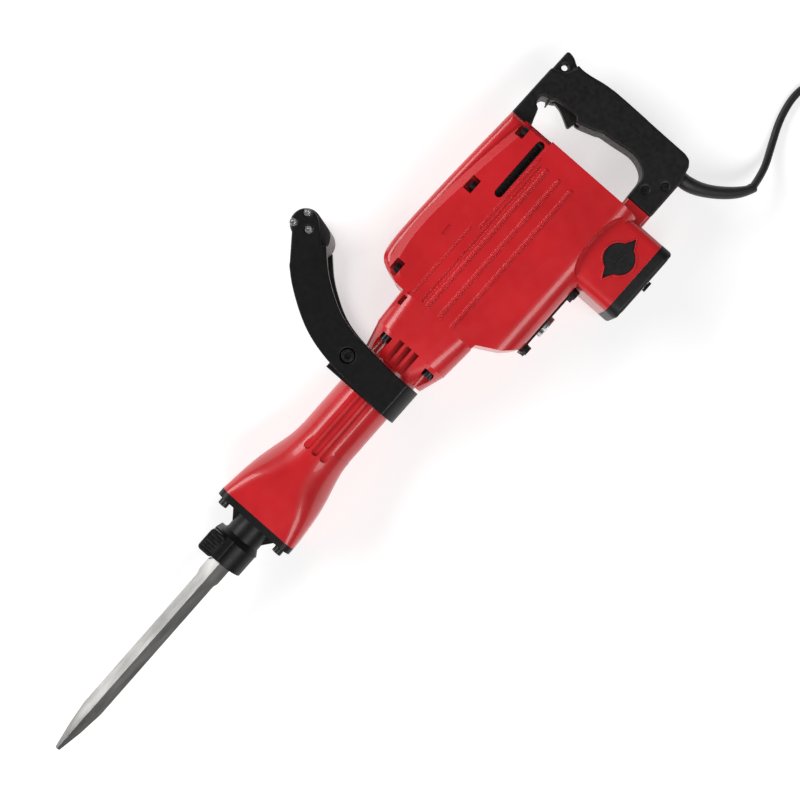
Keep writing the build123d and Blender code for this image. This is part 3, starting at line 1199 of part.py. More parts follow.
def grip_half(side):
    """One shell of the rear grip; side is +1 for the upper shell and -1 for the lower one."""
    with BuildPart() as half:
        with BuildSketch(up_z(0, 0, 0)):
            with BuildLine():
                ear = Polyline((BRACKET_X, 97.2), (755, 95.5), (REAR_X, 93.5))
                neck = Spline(ear @ 1, (755.5, 84), (748.3, 66), tangents=((0, -1), (0, -1)))
                back = Spline(neck @ 1, (752.5, 36), (754.5, -10), (753.5, -98), tangents=((0, -1), (0, -1)))
                foot = Polyline(back @ 1, (751, -106.5), (744, -112), (736, -114), (724, -117.5),
                                (STUB_X + 0.2, -117.5), (STUB_X + 0.2, -78.8), (690, -78.0))
                front = Spline(foot @ 1, (703.5, -70.5), (710, -54), (707.5, -25), (705, 0), (694.5, 25),
                               tangents=((1, 0.1), (-0.3, 1)))
                chin = Polyline(front @ 1, (694.5, 30), (699, 32), (699, 64), (694.5, 70))
                arch = Spline(chin @ 1, (683.5, 82.5), (677, 75), tangents=((0, 1), (-0.2, -1)))
                Polyline(arch @ 1, (669, 73), (659, 68.8), (BRACKET_X, 68.3), (BRACKET_X, 97.2))
            make_face()
        extrude(amount=side * GRIP_HALF)
        # hollow for the switch, trigger and wires
        with BuildSketch(up_z(0, 0, 0)):
            with Locations((731, 40)):
                Rectangle(30, 42)
            with Locations((731, -22)):
                Rectangle(12, 86)
            with Locations((731, -82)):
                Rectangle(24, 40)
        extrude(amount=side * 11, mode=Mode.SUBTRACT)
        add(trigger_opening.part, mode=Mode.SUBTRACT)
        # slot for the lock lever
        with BuildSketch(up_z(698, 72.2, 0)):
            Rectangle(36, 4.2)
        extrude(amount=side * 3.4, mode=Mode.SUBTRACT)
        with BuildSketch(up_z(*PIVOT_AT, 0)):
            Circle(TRIGGER_PIN_R)
        extrude(amount=side * 13, mode=Mode.SUBTRACT)
        with BuildSketch(up_z(*PIVOT_AT, 0)):
            Circle(SPRING_ROOM_R)
        extrude(amount=side * SPRING_ROOM_Z, mode=Mode.SUBTRACT)
        with BuildSketch(up_z(*HANG_HOLE_AT, 0)):
            Circle(HANG_HOLE_R)
        extrude(amount=side * 30, mode=Mode.SUBTRACT)
        # mouth for the cord guard
        with BuildSketch(along_y(GUARD_MOUTH_X, -125)):
            Circle(GUARD_MOUTH_R)
        extrude(amount=40, mode=Mode.SUBTRACT)
        # thin corner round the hanging hole
        with BuildSketch(up_z(0, 0, side * EAR_HALF)):
            Polygon((726, 101), (726, 92), (731, 79), (741, 73), (760, 73), (760, 101), align=None)
        extrude(amount=side * GRIP_HALF, mode=Mode.SUBTRACT)
        with BuildSketch(up_z(0, 0, 0)):
            with Locations(*SHELL_SCREWS[1], *SHELL_SCREWS[-1]):
                Circle(SHELL_SCREW_R)
        extrude(amount=side * SCREW_SEAT_Z, mode=Mode.SUBTRACT)
        with BuildSketch(up_z(0, 0, side * SCREW_SEAT_Z)):
            with Locations(*SHELL_SCREWS[side]):
                Circle(SHELL_HEAD_R + GAP)
        extrude(amount=side * GRIP_HALF, mode=Mode.SUBTRACT)
    return half.part


save(grip_half(1), "rear_grip_upper_half")
save(grip_half(-1), "rear_grip_lower_half")

with BuildPart() as rear_grip_screws:
    for side, spots in SHELL_SCREWS.items():
        with BuildSketch(up_z(0, 0, side * SCREW_SEAT_Z)):
            with Locations(*spots):
                Circle(SHELL_HEAD_R)
        extrude(amount=side * SHELL_HEAD_H)
        with BuildSketch(up_z(0, 0, -side * SCREW_SEAT_Z)):
            with Locations(*spots):
                Circle(SHELL_SCREW_R)
        extrude(amount=side * 2 * SCREW_SEAT_Z)
        with BuildSketch(up_z(0, 0, side * (SCREW_SEAT_Z + SHELL_HEAD_H))):
            with Locations(*spots):
                Rectangle(5, 1)
                Rectangle(1, 5)
        extrude(amount=-side * 1.4, mode=Mode.SUBTRACT)
save(rear_grip_screws.part, "rear_grip_screws")

with BuildPart() as trigger:
    with BuildSketch(up_z(0, 0, -TRIGGER_HALF)):
        with BuildLine():
            pad = Spline((696.5, 66), (694.5, 54), (684.5, 34), tangents=((0, -1), (-0.5, -1)))
            Polyline(pad @ 1, (686, 31.6), (693, 29.8), (703, 30), (712, 34), (713, 64), (708, 67),
                     (700, 67.2), pad @ 0)
        make_face()
    extrude(amount=2 * TRIGGER_HALF)
    with BuildSketch(up_z(*PIVOT_AT, -10)):
        Circle(TRIGGER_PIN_R + FIT)
    extrude(amount=20, mode=Mode.SUBTRACT)
save(trigger.part, "trigger")

with BuildPart() as trigger_pin:
    with BuildSketch(up_z(*PIVOT_AT, -13)):
        Circle(TRIGGER_PIN_R)
    extrude(amount=26)
save(trigger_pin.part, "trigger_pin")

with BuildPart() as lock_lever:
    with BuildSketch(up_z(0, 0, -3)):
        with BuildLine():
            Polyline((686, 70.4), (704, 70.4), (704, 74), (689, 74), (689, 72.4), (686, 72.4), (686, 70.4))
        make_face()
    extrude(amount=6)
save(lock_lever.part, "lock_lever")

SWITCH_X = 721.0
with BuildPart() as switch:
    with BuildSketch(up_z(732.5, 40, -9)):
        RectangleRounded(23, 36, 2)
    extrude(amount=18)
    with BuildSketch(along_x(SWITCH_X - 2.4)):
        with Locations((40, 0)):
            RectangleRounded(10, 8, 2)
    extrude(amount=3)
save(switch.part, "switch")

# torsion spring round the trigger's pin, between the trigger and the upper shell
TORSION_R = 3.6
with BuildPart() as trigger_spring:
    with BuildLine():
        Helix(pitch=1.4, height=2.8, radius=TORSION_R, center=(*PIVOT_AT, TRIGGER_HALF + 1))
    with BuildSketch(along_y(PIVOT_AT[0] + TORSION_R, PIVOT_AT[1], TRIGGER_HALF + 1)):
        Circle(0.5)
    sweep(is_frenet=True)
save(trigger_spring.part, "trigger_spring")

# =====================================================================================
# Power cord
# =====================================================================================
FLOOR_CORD_Z = FLOOR_Z + CORD_R
GUARD_END = (786.0, -190.0, -26.0)
COIL_RUN = 40.0           # straight stretch at each end of the coil
ENTRY_ANGLE, EXIT_ANGLE = 60.0, -60.0
COIL_MID_R = COIL_RADII[-1]
ENTRY_DIR = Vector(sin(radians(ENTRY_ANGLE)), -cos(radians(ENTRY_ANGLE)), 0)
ENTRY_AT = Vector(
    COIL_AT[0] + COIL_MID_R * cos(radians(ENTRY_ANGLE)),
    COIL_AT[1] + COIL_MID_R * sin(radians(ENTRY_ANGLE)), FLOOR_CORD_Z,
)
EXIT_AT = Vector(
    COIL_AT[0] + COIL_MID_R * cos(radians(EXIT_ANGLE)),
    COIL_AT[1] + COIL_MID_R * sin(radians(EXIT_ANGLE)), FLOOR_CORD_Z + 2 * CORD_R,
)
EXIT_DIR = Vector(-0.866, -0.5, -0.085).normalized()
CORD_ROUTE = [
    Vector(*GUARD_END), Vector(814, -188.5, -41), Vector(846, -176, -53.5), Vector(886, -158.5, -57),
    ENTRY_AT - ENTRY_DIR * (COIL_RUN + 35), ENTRY_AT - ENTRY_DIR * COIL_RUN,
]
PLUG_BODY_R = 13.0
PLUG_Z = FLOOR_Z + PLUG_BODY_R
PLUG_DIR = Vector(-0.8, -0.6, 0)
TAIL_LOW = EXIT_AT + EXIT_DIR * (COIL_RUN + 28)
TAIL_HIGH = Vector(TAIL_LOW.X - 24.5, TAIL_LOW.Y - 17, PLUG_Z)
TAIL_ROUTE = [EXIT_AT + EXIT_DIR * COIL_RUN, TAIL_LOW, TAIL_HIGH, TAIL_HIGH + PLUG_DIR * 24]


def rounded_route(points):
    """Path of straight runs with the largest tangent arcs that its runs allow."""
    radii = []
    for before, corner, after in zip(points, points[1:], points[2:]):
        half_turn = radians((corner - before).get_angle(after - corner)) / 2
        shorter = min((corner - before).length, (after - corner).length)
        radii.append(0.45 * shorter / tan(half_turn))
    print("cord arc radii", [round(radius) for radius in radii])
    return FilletPolyline(*points, radius=radii)


def tube(points):
    """Round cord swept along a route."""
    with BuildPart() as cord:
        with BuildLine():
            path = rounded_route(points)
        with BuildSketch(Plane(origin=path @ 0, z_dir=path % 0)):
            Circle(CORD_R)
        sweep()
    print("cord length", round(path.length, 1), "volume over section",
          round(cord.part.volume / (pi * CORD_R ** 2), 1))
    return cord.part


save(Compound(children=[tube(CORD_ROUTE), tube(TAIL_ROUTE)]), "power_cord")

# tapered guard: a straight stub with a collar in the grip, then a bend that thins to the cord
GUARD_LINE = [
    (GUARD_MOUTH_X, -119.5, 0), (735.5, -137, -4.5), (747.5, -157, -11.5), (764.5, -175, -19.5),
    GUARD_END,
]
GUARD_RADII = [9.5, 8.9, 8.2, 7.6, 7.0]
GUARD_COLLAR_R, GUARD_STUB, GUARD_COLLAR = 10.8, 19.0, 5.0
GUARD_END_DIR = (CORD_ROUTE[1] - CORD_ROUTE[0]).normalized()
with BuildPart() as cord_guard:
    with BuildLine():
        guard_path = Spline(*GUARD_LINE, tangents=((0, -1, 0), tuple(GUARD_END_DIR)))
    for step, radius in enumerate(GUARD_RADII):
        share = step / (len(GUARD_RADII) - 1)
        with BuildSketch(Plane(origin=guard_path @ share, z_dir=guard_path % share)):
            Circle(radius)
    loft()
    with BuildSketch(along_y(*GUARD_LINE[0])):
        Circle(GUARD_RADII[0])
    extrude(amount=GUARD_STUB)
    with BuildSketch(along_y(GUARD_MOUTH_X, GUARD_LINE[0][1] + GUARD_STUB)):
        Circle(GUARD_COLLAR_R)
    extrude(amount=GUARD_COLLAR)
save(cord_guard.part, "cord_guard")

# two layers of turns as one ring, a hair slimmer than the cord that runs out of them
COIL_SKIN = 0.3
with BuildPart() as cord_coil:
    with BuildSketch(up_z(*COIL_AT, FLOOR_Z + COIL_SKIN)):
        Circle(COIL_RADII[-1] + CORD_R - COIL_SKIN)
        Circle(COIL_RADII[0] - CORD_R, mode=Mode.SUBTRACT)
    extrude(amount=4 * CORD_R - 2 * COIL_SKIN)
    with BuildSketch(Plane(origin=ENTRY_AT - ENTRY_DIR * COIL_RUN, z_dir=ENTRY_DIR)):
        Circle(CORD_R)
    extrude(amount=COIL_RUN)
    with BuildSketch(Plane(origin=EXIT_AT, z_dir=EXIT_DIR)):
        Circle(CORD_R)
    extrude(amount=COIL_RUN)
save(cord_coil.part, "cord_coil")

PLUG_AT = TAIL_ROUTE[-1]
with BuildPart() as plug:
    plug_plane = Plane(origin=PLUG_AT, x_dir=(0, 0, 1), z_dir=PLUG_DIR)
    with BuildSketch(plug_plane):
        Circle(CORD_R + 1)
    with BuildSketch(plug_plane.offset(24)):
        Circle(8)
    loft()
    with BuildSketch(plug_plane.offset(24)):
        RectangleRounded(22, 24, 8)
    extrude(amount=6)
    with BuildSketch(plug_plane.offset(30)):
        RectangleRounded(2 * PLUG_BODY_R, 2 * PLUG_BODY_R + 4, 9)
    extrude(amount=28)
    with BuildSketch(plug_plane.offset(58)):
        with Locations((0, 9.5), (0, -9.5)):
            Circle(2.4)
    extrude(amount=19)
save(plug.part, "plug")
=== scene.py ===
import json
from math import cos, radians, sin

import bmesh
import bpy
from mathutils import Matrix, Vector

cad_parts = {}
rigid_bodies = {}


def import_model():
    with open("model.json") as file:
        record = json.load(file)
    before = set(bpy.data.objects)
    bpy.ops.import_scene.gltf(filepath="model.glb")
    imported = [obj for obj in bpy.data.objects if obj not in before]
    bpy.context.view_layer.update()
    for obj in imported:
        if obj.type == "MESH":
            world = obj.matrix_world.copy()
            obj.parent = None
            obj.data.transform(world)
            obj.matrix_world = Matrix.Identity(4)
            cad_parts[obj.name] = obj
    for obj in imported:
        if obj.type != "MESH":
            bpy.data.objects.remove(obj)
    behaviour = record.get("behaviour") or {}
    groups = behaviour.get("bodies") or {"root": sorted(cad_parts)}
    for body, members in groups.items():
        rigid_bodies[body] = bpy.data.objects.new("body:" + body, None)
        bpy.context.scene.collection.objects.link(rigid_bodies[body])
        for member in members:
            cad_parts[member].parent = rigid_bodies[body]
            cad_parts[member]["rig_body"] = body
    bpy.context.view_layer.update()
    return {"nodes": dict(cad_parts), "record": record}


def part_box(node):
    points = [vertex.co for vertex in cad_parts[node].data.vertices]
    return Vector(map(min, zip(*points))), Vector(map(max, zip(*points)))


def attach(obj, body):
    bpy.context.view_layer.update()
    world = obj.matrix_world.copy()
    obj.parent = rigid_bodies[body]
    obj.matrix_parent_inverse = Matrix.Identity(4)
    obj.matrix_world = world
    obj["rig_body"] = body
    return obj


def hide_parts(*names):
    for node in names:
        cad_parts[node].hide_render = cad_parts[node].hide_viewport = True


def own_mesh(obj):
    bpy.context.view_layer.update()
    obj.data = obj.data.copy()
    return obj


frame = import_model()
nodes = frame["nodes"]

# Places below are given along the tool, in millimetres: x from the front cover's mouth
# towards the rear grip, y from the tail cover towards the side handle, z up from the tool's
# axis. place() turns them into the frame of the CAD nodes, in metres.
AXIS_Y = (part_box("cylinder")[0].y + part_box("cylinder")[1].y) / 2
AXIS_Z = (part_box("cylinder")[0].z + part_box("cylinder")[1].z) / 2
TIP_X = -318.0                         # the chisel's tip
MM = 0.001
SLOT_OF = {entry["node"]: entry["material_slot"] for entry in frame["record"]["subparts"]}


def place(x, y, z=0.0):
    """Point in metres from millimetres along the tool."""
    return Vector((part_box("chisel")[0].x + (x - TIP_X) * MM, AXIS_Y + y * MM, AXIS_Z + z * MM))


def new_object(name, data):
    """Object in the scene."""
    made = bpy.data.objects.new(name, data)
    bpy.context.scene.collection.objects.link(made)
    return made


# ---------------------------------------------------------------- camera
SENSOR = 36.0
CAMERA_ABOVE = 1900.0
VIEW_WIDTH = 997.6                     # what the camera sees across, at the tool's axis
CAMERA_AT = (330, -60, CAMERA_ABOVE)
CAMERA_AIM = (294, -34)
CAMERA_UP = Vector((0.7507, 0.6606, 0.0))
CLIP = (0.05, 20.0)                    # metres


def make_camera():
    """Camera over the hammer, with the chisel down to the left."""
    data = bpy.data.cameras.new("Camera")
    camera = new_object("Camera", data)
    data.sensor_width = SENSOR
    data.lens = SENSOR * CAMERA_ABOVE / VIEW_WIDTH
    data.clip_start, data.clip_end = CLIP
    camera.location = place(*CAMERA_AT)
    back = (camera.location - place(*CAMERA_AIM)).normalized()
    right = CAMERA_UP.cross(back).normalized()
    up = back.cross(right)
    camera.rotation_mode = "QUATERNION"
    rows = [(right[i], up[i], back[i]) for i in range(3)]
    camera.rotation_quaternion = Matrix(rows).to_quaternion()
    bpy.context.scene.camera = camera


make_camera()

# ---------------------------------------------------------------- power cord
CORD_R = 5.0
FLOOR_Z = -62.0
LAYER_Z = (FLOOR_Z + CORD_R, FLOOR_Z + 3 * CORD_R)
COIL_AT = (958.0, -251.0)
TURN_RADII = (70.0, 60.0, 50.0, 40.0, 40.0, 50.0, 60.0, 70.0)
FULL_TURNS = 7
UPPER_TURN = 3                         # the coil narrows before this turn and widens after it
NARROWING = (0.75, 0.25)               # where in a turn the radius changes, and over how much of it
WIDENING = (0.42, 0.2)
CLIMB = (3.5, 0.25)                    # the same for the step up to the second layer, in turns
ENTRY_ANGLE, EXIT_ANGLE = 60.0, -60.0
COIL_RUN = 40.0
COIL_STEP = 20.0
GUARD_END = (786.0, -190.0, -26.0)


def passed(value, start, length):
    """Share of a stretch that lies behind a value, from 0 to 1."""
    return min(1.0, max(0.0, (value - start) / length))


def turn_radius(turn):
    """Radius of the coil, drifting to the next turn's over a part of each turn."""
    index = min(int(turn), len(TURN_RADII) - 1)
    radius, following = TURN_RADII[index], TURN_RADII[min(index + 1, len(TURN_RADII) - 1)]
    drift = NARROWING if index < UPPER_TURN else WIDENING
    return radius + (following - radius) * passed(turn - index, *drift)


def turn_height(turn):
    """The coil climbs to its second layer before its fourth turn ends."""
    return LAYER_Z[0] + (LAYER_Z[1] - LAYER_Z[0]) * passed(turn, *CLIMB)


def coil_points():
    """Control points of the turns, a little outside the line that they make."""
    outside = 1 / cos(radians(COIL_STEP / 2))
    angle = ENTRY_ANGLE + COIL_STEP / 2
    last = EXIT_ANGLE - FULL_TURNS * 360 - COIL_STEP / 2
    points = []
    while angle > last - 1:
        turn = max(0.0, (ENTRY_ANGLE - angle) / 360)
        radius = turn_radius(turn) * outside
        points.append(Vector((
            COIL_AT[0] + radius * cos(radians(angle)),
            COIL_AT[1] + radius * sin(radians(angle)), turn_height(turn),
        )))
        angle -= COIL_STEP
    return points


def rim_point(angle, z):
    """Point on the outermost turn."""
    return Vector((
        COIL_AT[0] + TURN_RADII[0] * cos(radians(angle)),
        COIL_AT[1] + TURN_RADII[0] * sin(radians(angle)), z,
    ))


ENTRY_AT = rim_point(ENTRY_ANGLE, LAYER_Z[0])
ENTRY_DIR = Vector((sin(radians(ENTRY_ANGLE)), -cos(radians(ENTRY_ANGLE)), 0))
EXIT_AT = rim_point(EXIT_ANGLE, LAYER_Z[1])
EXIT_DIR = Vector((-0.866, -0.5, -0.085)).normalized()
PLUG_Z = FLOOR_Z + 13.0
TAIL_LOW = EXIT_AT + EXIT_DIR * (COIL_RUN + 28)
TAIL_HIGH = Vector((TAIL_LOW.x - 24.5, TAIL_LOW.y - 17, PLUG_Z))
TAIL_END = TAIL_HIGH + Vector((-0.8, -0.6, 0)) * 24
CORD_POINTS = [
    Vector(GUARD_END), Vector((814, -188.5, -41)), Vector((846, -176, -53.5)),
    Vector((886, -158.5, -57)), ENTRY_AT - ENTRY_DIR * (COIL_RUN + 35), ENTRY_AT - ENTRY_DIR * COIL_RUN,
    *coil_points(), EXIT_AT + EXIT_DIR * COIL_RUN, TAIL_LOW, TAIL_HIGH, TAIL_END,
]


def make_cord():
    """The flex, as one smooth curve from the guard through its coil to the plug."""
    data = bpy.data.curves.new("cord_flex", "CURVE")
    data.dimensions = "3D"
    data.bevel_depth = 1.0             # times each point's radius
    data.bevel_resolution = 5
    data.resolution_u = 6
    spline = data.splines.new("NURBS")
    spline.points.add(len(CORD_POINTS) - 1)
    for point, at in zip(spline.points, CORD_POINTS):
        point.co = (*place(*at), 1)
        point.radius = CORD_R * MM
    spline.order_u = 3
    spline.use_endpoint_u = True
    cord = new_object("cord_flex", data)
    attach(cord, "body")
    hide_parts("power_cord", "cord_coil")
    return cord


cord = make_cord()


# ---------------------------------------------------------------- materials
class Shader:
    """A Principled material with helpers for the nodes that feed it."""

    def __init__(self, name):
        self.material = bpy.data.materials.new(name)
        self.material.use_nodes = True
        self.tree = self.material.node_tree
        self.main = self.tree.nodes["Principled BSDF"]
        self.place = self.tree.nodes.new("ShaderNodeTexCoord").outputs["Object"]

    def set(self, **values):
        """Values straight on the shader's own sockets."""
        for name, value in values.items():
            self.main.inputs[name.replace("_", " ")].default_value = value
        return self

    def link(self, out, into):
        """Wire from one node to another."""
        self.tree.links.new(out, into)

    def scaled(self, scale):
        """Object coordinates, stretched."""
        mapping = self.tree.nodes.new("ShaderNodeMapping")
        mapping.inputs["Scale"].default_value = scale
        self.link(self.place, mapping.inputs["Vector"])
        return mapping.outputs["Vector"]

    def noise(self, scale, detail=3.0, stretch=None, roughness=0.5):
        """Noise over the object, scale per metre."""
        noise = self.tree.nodes.new("ShaderNodeTexNoise")
        noise.inputs["Scale"].default_value = scale
        noise.inputs["Detail"].default_value = detail
        noise.inputs["Roughness"].default_value = roughness
        self.link(self.scaled(stretch) if stretch else self.place, noise.inputs["Vector"])
        return noise.outputs["Fac"]

    def ramp(self, source, stops):
        """Colours along a value."""
        ramp = self.tree.nodes.new("ShaderNodeValToRGB")
        ramp.color_ramp.elements[0].position, ramp.color_ramp.elements[0].color = stops[0]
        ramp.color_ramp.elements[1].position, ramp.color_ramp.elements[1].color = stops[-1]
        for at, colour in stops[1:-1]:
            ramp.color_ramp.elements.new(at).color = colour
        self.link(source, ramp.inputs["Fac"])
        return ramp.outputs["Color"]

    def spread(self, source, low, high):
        """A value between 0.3 and 0.7 spread from low to high."""
        spread = self.tree.nodes.new("ShaderNodeMapRange")
        spread.inputs["From Min"].default_value, spread.inputs["From Max"].default_value = 0.3, 0.7
        spread.inputs["To Min"].default_value, spread.inputs["To Max"].default_value = low, high
        self.link(source, spread.inputs["Value"])
        return spread.outputs["Result"]

    def colour(self, source, dark, light):
        """Base colour between two close colours."""
        ramp = self.ramp(source, [(0.35, (*dark, 1)), (0.65, (*light, 1))])
        self.link(ramp, self.main.inputs["Base Color"])
        return self

    def rough(self, source, low, high):
        """Roughness between two values."""
        self.link(self.spread(source, low, high), self.main.inputs["Roughness"])
        return self

    def bump(self, source, height_mm, strength=1.0):
        """Bump of that height, in millimetres."""
        bump = self.tree.nodes.new("ShaderNodeBump")
        bump.inputs["Distance"].default_value = height_mm * MM
        bump.inputs["Strength"].default_value = strength
        self.link(source, bump.inputs["Height"])
        self.link(bump.outputs["Normal"], self.main.inputs["Normal"])
        return self


def red_enamel():
    """Glossy enamel on a cast housing: faint orange peel over a slightly uneven casting."""
    paint = Shader("red_paint").set(Coat_Weight=0.35, Coat_Roughness=0.06, Specular_IOR_Level=0.5)
    paint.colour(paint.noise(14, 4), (0.50, 0.008, 0.012), (0.60, 0.012, 0.018))
    paint.rough(paint.noise(60, 2), 0.28, 0.36)
    return paint.bump(paint.noise(120, 0), 0.02, 0.1).material


def black_casting():
    """Satin black paint over sand-cast metal."""
    paint = Shader("black_casting").set(Specular_IOR_Level=0.25)
    paint.colour(paint.noise(30, 4), (0.0030, 0.0030, 0.0033), (0.0040, 0.0040, 0.0043))
    paint.rough(paint.noise(160, 3), 0.38, 0.46)
    return paint.bump(paint.noise(900, 4), 0.025, 0.5).material


def black_plastic():
    """Moulded plastic with a fine spark-eroded grain."""
    plastic = Shader("black_plastic").set(Specular_IOR_Level=0.38)
    plastic.colour(plastic.noise(25, 3), (0.0040, 0.0040, 0.0043), (0.0055, 0.0055, 0.0058))
    plastic.rough(plastic.noise(200, 4), 0.38, 0.55)
    return plastic.bump(plastic.noise(2200, 2), 0.02, 0.4).material


def black_oxide():
    """Blackened bolts, worn a little grey."""
    steel = Shader("black_oxide").set(Metallic=0.7)
    steel.colour(steel.noise(180, 5), (0.010, 0.010, 0.011), (0.035, 0.035, 0.037))
    steel.rough(steel.noise(300, 4), 0.28, 0.45)
    return steel.bump(steel.noise(1500, 3), 0.03, 0.4).material


def ground_steel():
    """Bright forged and ground steel, drawn along the tool."""
    steel = Shader("bright_steel").set(Metallic=1.0)
    grain = steel.noise(30, 6, (1.2, 40, 40), 0.6)
    steel.colour(steel.noise(22, 5, (1, 4, 4)), (0.23, 0.227, 0.220), (0.34, 0.336, 0.327))
    steel.rough(grain, 0.28, 0.44)
    return steel.bump(grain, 0.03, 0.45).material


def turned_alloy():
    """Turned light alloy."""
    alloy = Shader("silver_metal").set(Metallic=1.0)
    alloy.colour(alloy.noise(60, 4), (0.62, 0.62, 0.63), (0.74, 0.74, 0.75))
    alloy.rough(alloy.noise(400, 3), 0.22, 0.36)
    return alloy.bump(alloy.noise(1200, 2), 0.02, 0.4).material


def laminations():
    """Thin iron sheets stacked along the motor's shaft."""
    iron = Shader("core_iron").set(Metallic=0.85)
    wave = iron.tree.nodes.new("ShaderNodeTexWave")
    wave.bands_direction = "Y"
    wave.inputs["Scale"].default_value = 300
    iron.link(iron.place, wave.inputs["Vector"])
    iron.colour(iron.noise(60, 4), (0.16, 0.155, 0.15), (0.26, 0.25, 0.24))
    iron.rough(iron.noise(200, 4), 0.35, 0.55)
    return iron.bump(wave.outputs["Fac"], 0.1, 0.6).material


def copper():
    """Varnished copper windings."""
    metal = Shader("copper_wire").set(Metallic=1.0)
    wave = metal.tree.nodes.new("ShaderNodeTexWave")
    wave.bands_direction = "DIAGONAL"
    wave.inputs["Scale"].default_value = 260
    metal.link(metal.place, wave.inputs["Vector"])
    metal.colour(metal.noise(80, 3), (0.50, 0.19, 0.08), (0.68, 0.30, 0.14))
    metal.rough(metal.noise(160, 3), 0.25, 0.4)
    return metal.bump(wave.outputs["Fac"], 0.3, 0.8).material


def carbon():
    """Pressed carbon."""
    block = Shader("carbon")
    block.colour(block.noise(300, 4), (0.02, 0.02, 0.02), (0.05, 0.05, 0.05))
    block.rough(block.noise(500, 3), 0.5, 0.7)
    return block.bump(block.noise(2500, 2), 0.03, 0.5).material


def black_rubber():
    """Matt rubber with a dusty sheen."""
    rubber = Shader("black_rubber").set(Sheen_Weight=0.15, Sheen_Roughness=0.5)
    rubber.colour(rubber.noise(40, 4), (0.0040, 0.0040, 0.0043), (0.0055, 0.0055, 0.0058))
    rubber.rough(rubber.noise(140, 4), 0.42, 0.60)
    return rubber.bump(rubber.noise(1400, 3), 0.05, 0.5).material


def grip_rubber():
    """Worn grey rubber of the side handle's grip."""
    rubber = Shader("grip_rubber").set(Sheen_Weight=0.2, Sheen_Roughness=0.5)
    rubber.colour(rubber.noise(40, 4), (0.016, 0.016, 0.017), (0.024, 0.024, 0.025))
    rubber.rough(rubber.noise(140, 4), 0.45, 0.60)
    return rubber.bump(rubber.noise(1400, 3), 0.05, 0.5).material


MATERIALS = {
    "red_paint": red_enamel(),
    "black_casting": black_casting(),
    "black_plastic": black_plastic(),
    "black_fasteners": black_oxide(),
    "bright_steel": ground_steel(),
    "silver_metal": turned_alloy(),
    "core_iron": laminations(),
    "copper_wire": copper(),
    "carbon": carbon(),
    "black_rubber": black_rubber(),
}


def paint(piece, material):
    """One material on every face of a piece."""
    piece.data.materials.clear()
    piece.data.materials.append(material)


for node_name, node in nodes.items():
    paint(node, MATERIALS[SLOT_OF[node_name]])
paint(nodes["side_grip"], grip_rubber())
paint(cord, MATERIALS["black_rubber"])

# ---------------------------------------------------------------- softened edges
WELD = 2e-6                            # metres within which corners of the triangles are one

# How far the sharp edges of each outside piece are rounded, in millimetres.
EDGE_RADII = {
    "main_housing": 0.24, "gear_cover": 1.6, "cylinder_case": 1.2, "front_cover": 1.0,
    "side_handle_strap": 1.0, "trigger": 1.2, "brush_caps": 0.6,
    "tail_cover": 0.8, "bottom_cover": 0.5, "tool_retainer": 0.7, "chisel": 0.35, "oil_gauge": 0.5,
    "front_cover_bolts": 0.4, "case_bolts": 0.4, "gear_cover_bolts": 0.4, "bottom_cover_bolts": 0.4,
    "tail_cover_screws": 0.3, "clamp_bolt_and_nut": 0.5, "side_grip_screws": 0.3,
    "rear_grip_screws": 0.3, "lock_lever": 0.4,
}
# Edges rounded to their full radius, not held back by the shortest edge of the piece. The housing's
# seam has a ledge 0.5 mm wide, so its radius stays under half of that.
WIDE_EDGES = ("main_housing",)
OWN_SLOTS = {"side_grip_screws": "silver_metal"}   # finished in another material than their CAD node
SHARP = radians(30)
FLAT = radians(0.3)
EDGE_SEGMENTS = 3


def softened(node_name, radius):
    """Copy of a CAD node with rounded edges, standing for it."""
    source = nodes[node_name]
    slot_name = OWN_SLOTS.get(node_name, SLOT_OF[node_name])
    mesh = source.data.copy()
    imported_normals = mesh.attributes.get("custom_normal")
    if imported_normals:
        mesh.attributes.remove(imported_normals)
    model = bmesh.new()
    model.from_mesh(mesh)
    bmesh.ops.remove_doubles(model, verts=model.verts, dist=WELD)
    bmesh.ops.dissolve_limit(model, angle_limit=FLAT, verts=model.verts, edges=model.edges)
    model.to_mesh(mesh)
    model.free()
    mesh.shade_smooth()
    mesh.set_sharp_from_angle(angle=SHARP)
    piece = new_object(node_name + "_finished", mesh)
    edges = piece.modifiers.new("edges", "BEVEL")
    edges.width = radius * MM
    edges.segments = EDGE_SEGMENTS
    edges.limit_method = "ANGLE"
    edges.angle_limit = SHARP
    edges.harden_normals = True
    edges.use_clamp_overlap = node_name not in WIDE_EDGES
    paint(piece, MATERIALS[slot_name])
    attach(piece, source["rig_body"])
    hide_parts(node_name)


for node_name, radius in EDGE_RADII.items():
    softened(node_name, radius)


# ---------------------------------------------------------------- moulded shapes
SMOOTHING = 0.5                        # share of the way to its neighbours' middle, each pass


def moulded(name, node_names, voxel, passes):
    """Well rounded copy of CAD nodes, remeshed finely (voxel in mm) and smoothed, standing for them."""
    joined = bmesh.new()
    for node_name in node_names:
        joined.from_mesh(nodes[node_name].data)
    bmesh.ops.remove_doubles(joined, verts=joined.verts, dist=WELD)
    mesh = bpy.data.meshes.new(name)
    joined.to_mesh(mesh)
    joined.free()
    piece = new_object(name, mesh)
    remesh = piece.modifiers.new("remesh", "REMESH")
    remesh.mode = "VOXEL"
    remesh.voxel_size = voxel * MM
    smooth = piece.modifiers.new("smooth", "SMOOTH")
    smooth.factor = SMOOTHING
    smooth.iterations = passes
    bpy.context.view_layer.update()
    finished = piece.evaluated_get(bpy.context.evaluated_depsgraph_get())
    shaped = bpy.data.meshes.new_from_object(finished)
    piece.modifiers.clear()
    piece.data = shaped
    bpy.data.meshes.remove(mesh)
    shaped.shade_smooth()
    slot_name = SLOT_OF[node_names[0]]
    paint(piece, MATERIALS[slot_name])
    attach(piece, nodes[node_names[0]]["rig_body"])
    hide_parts(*node_names)


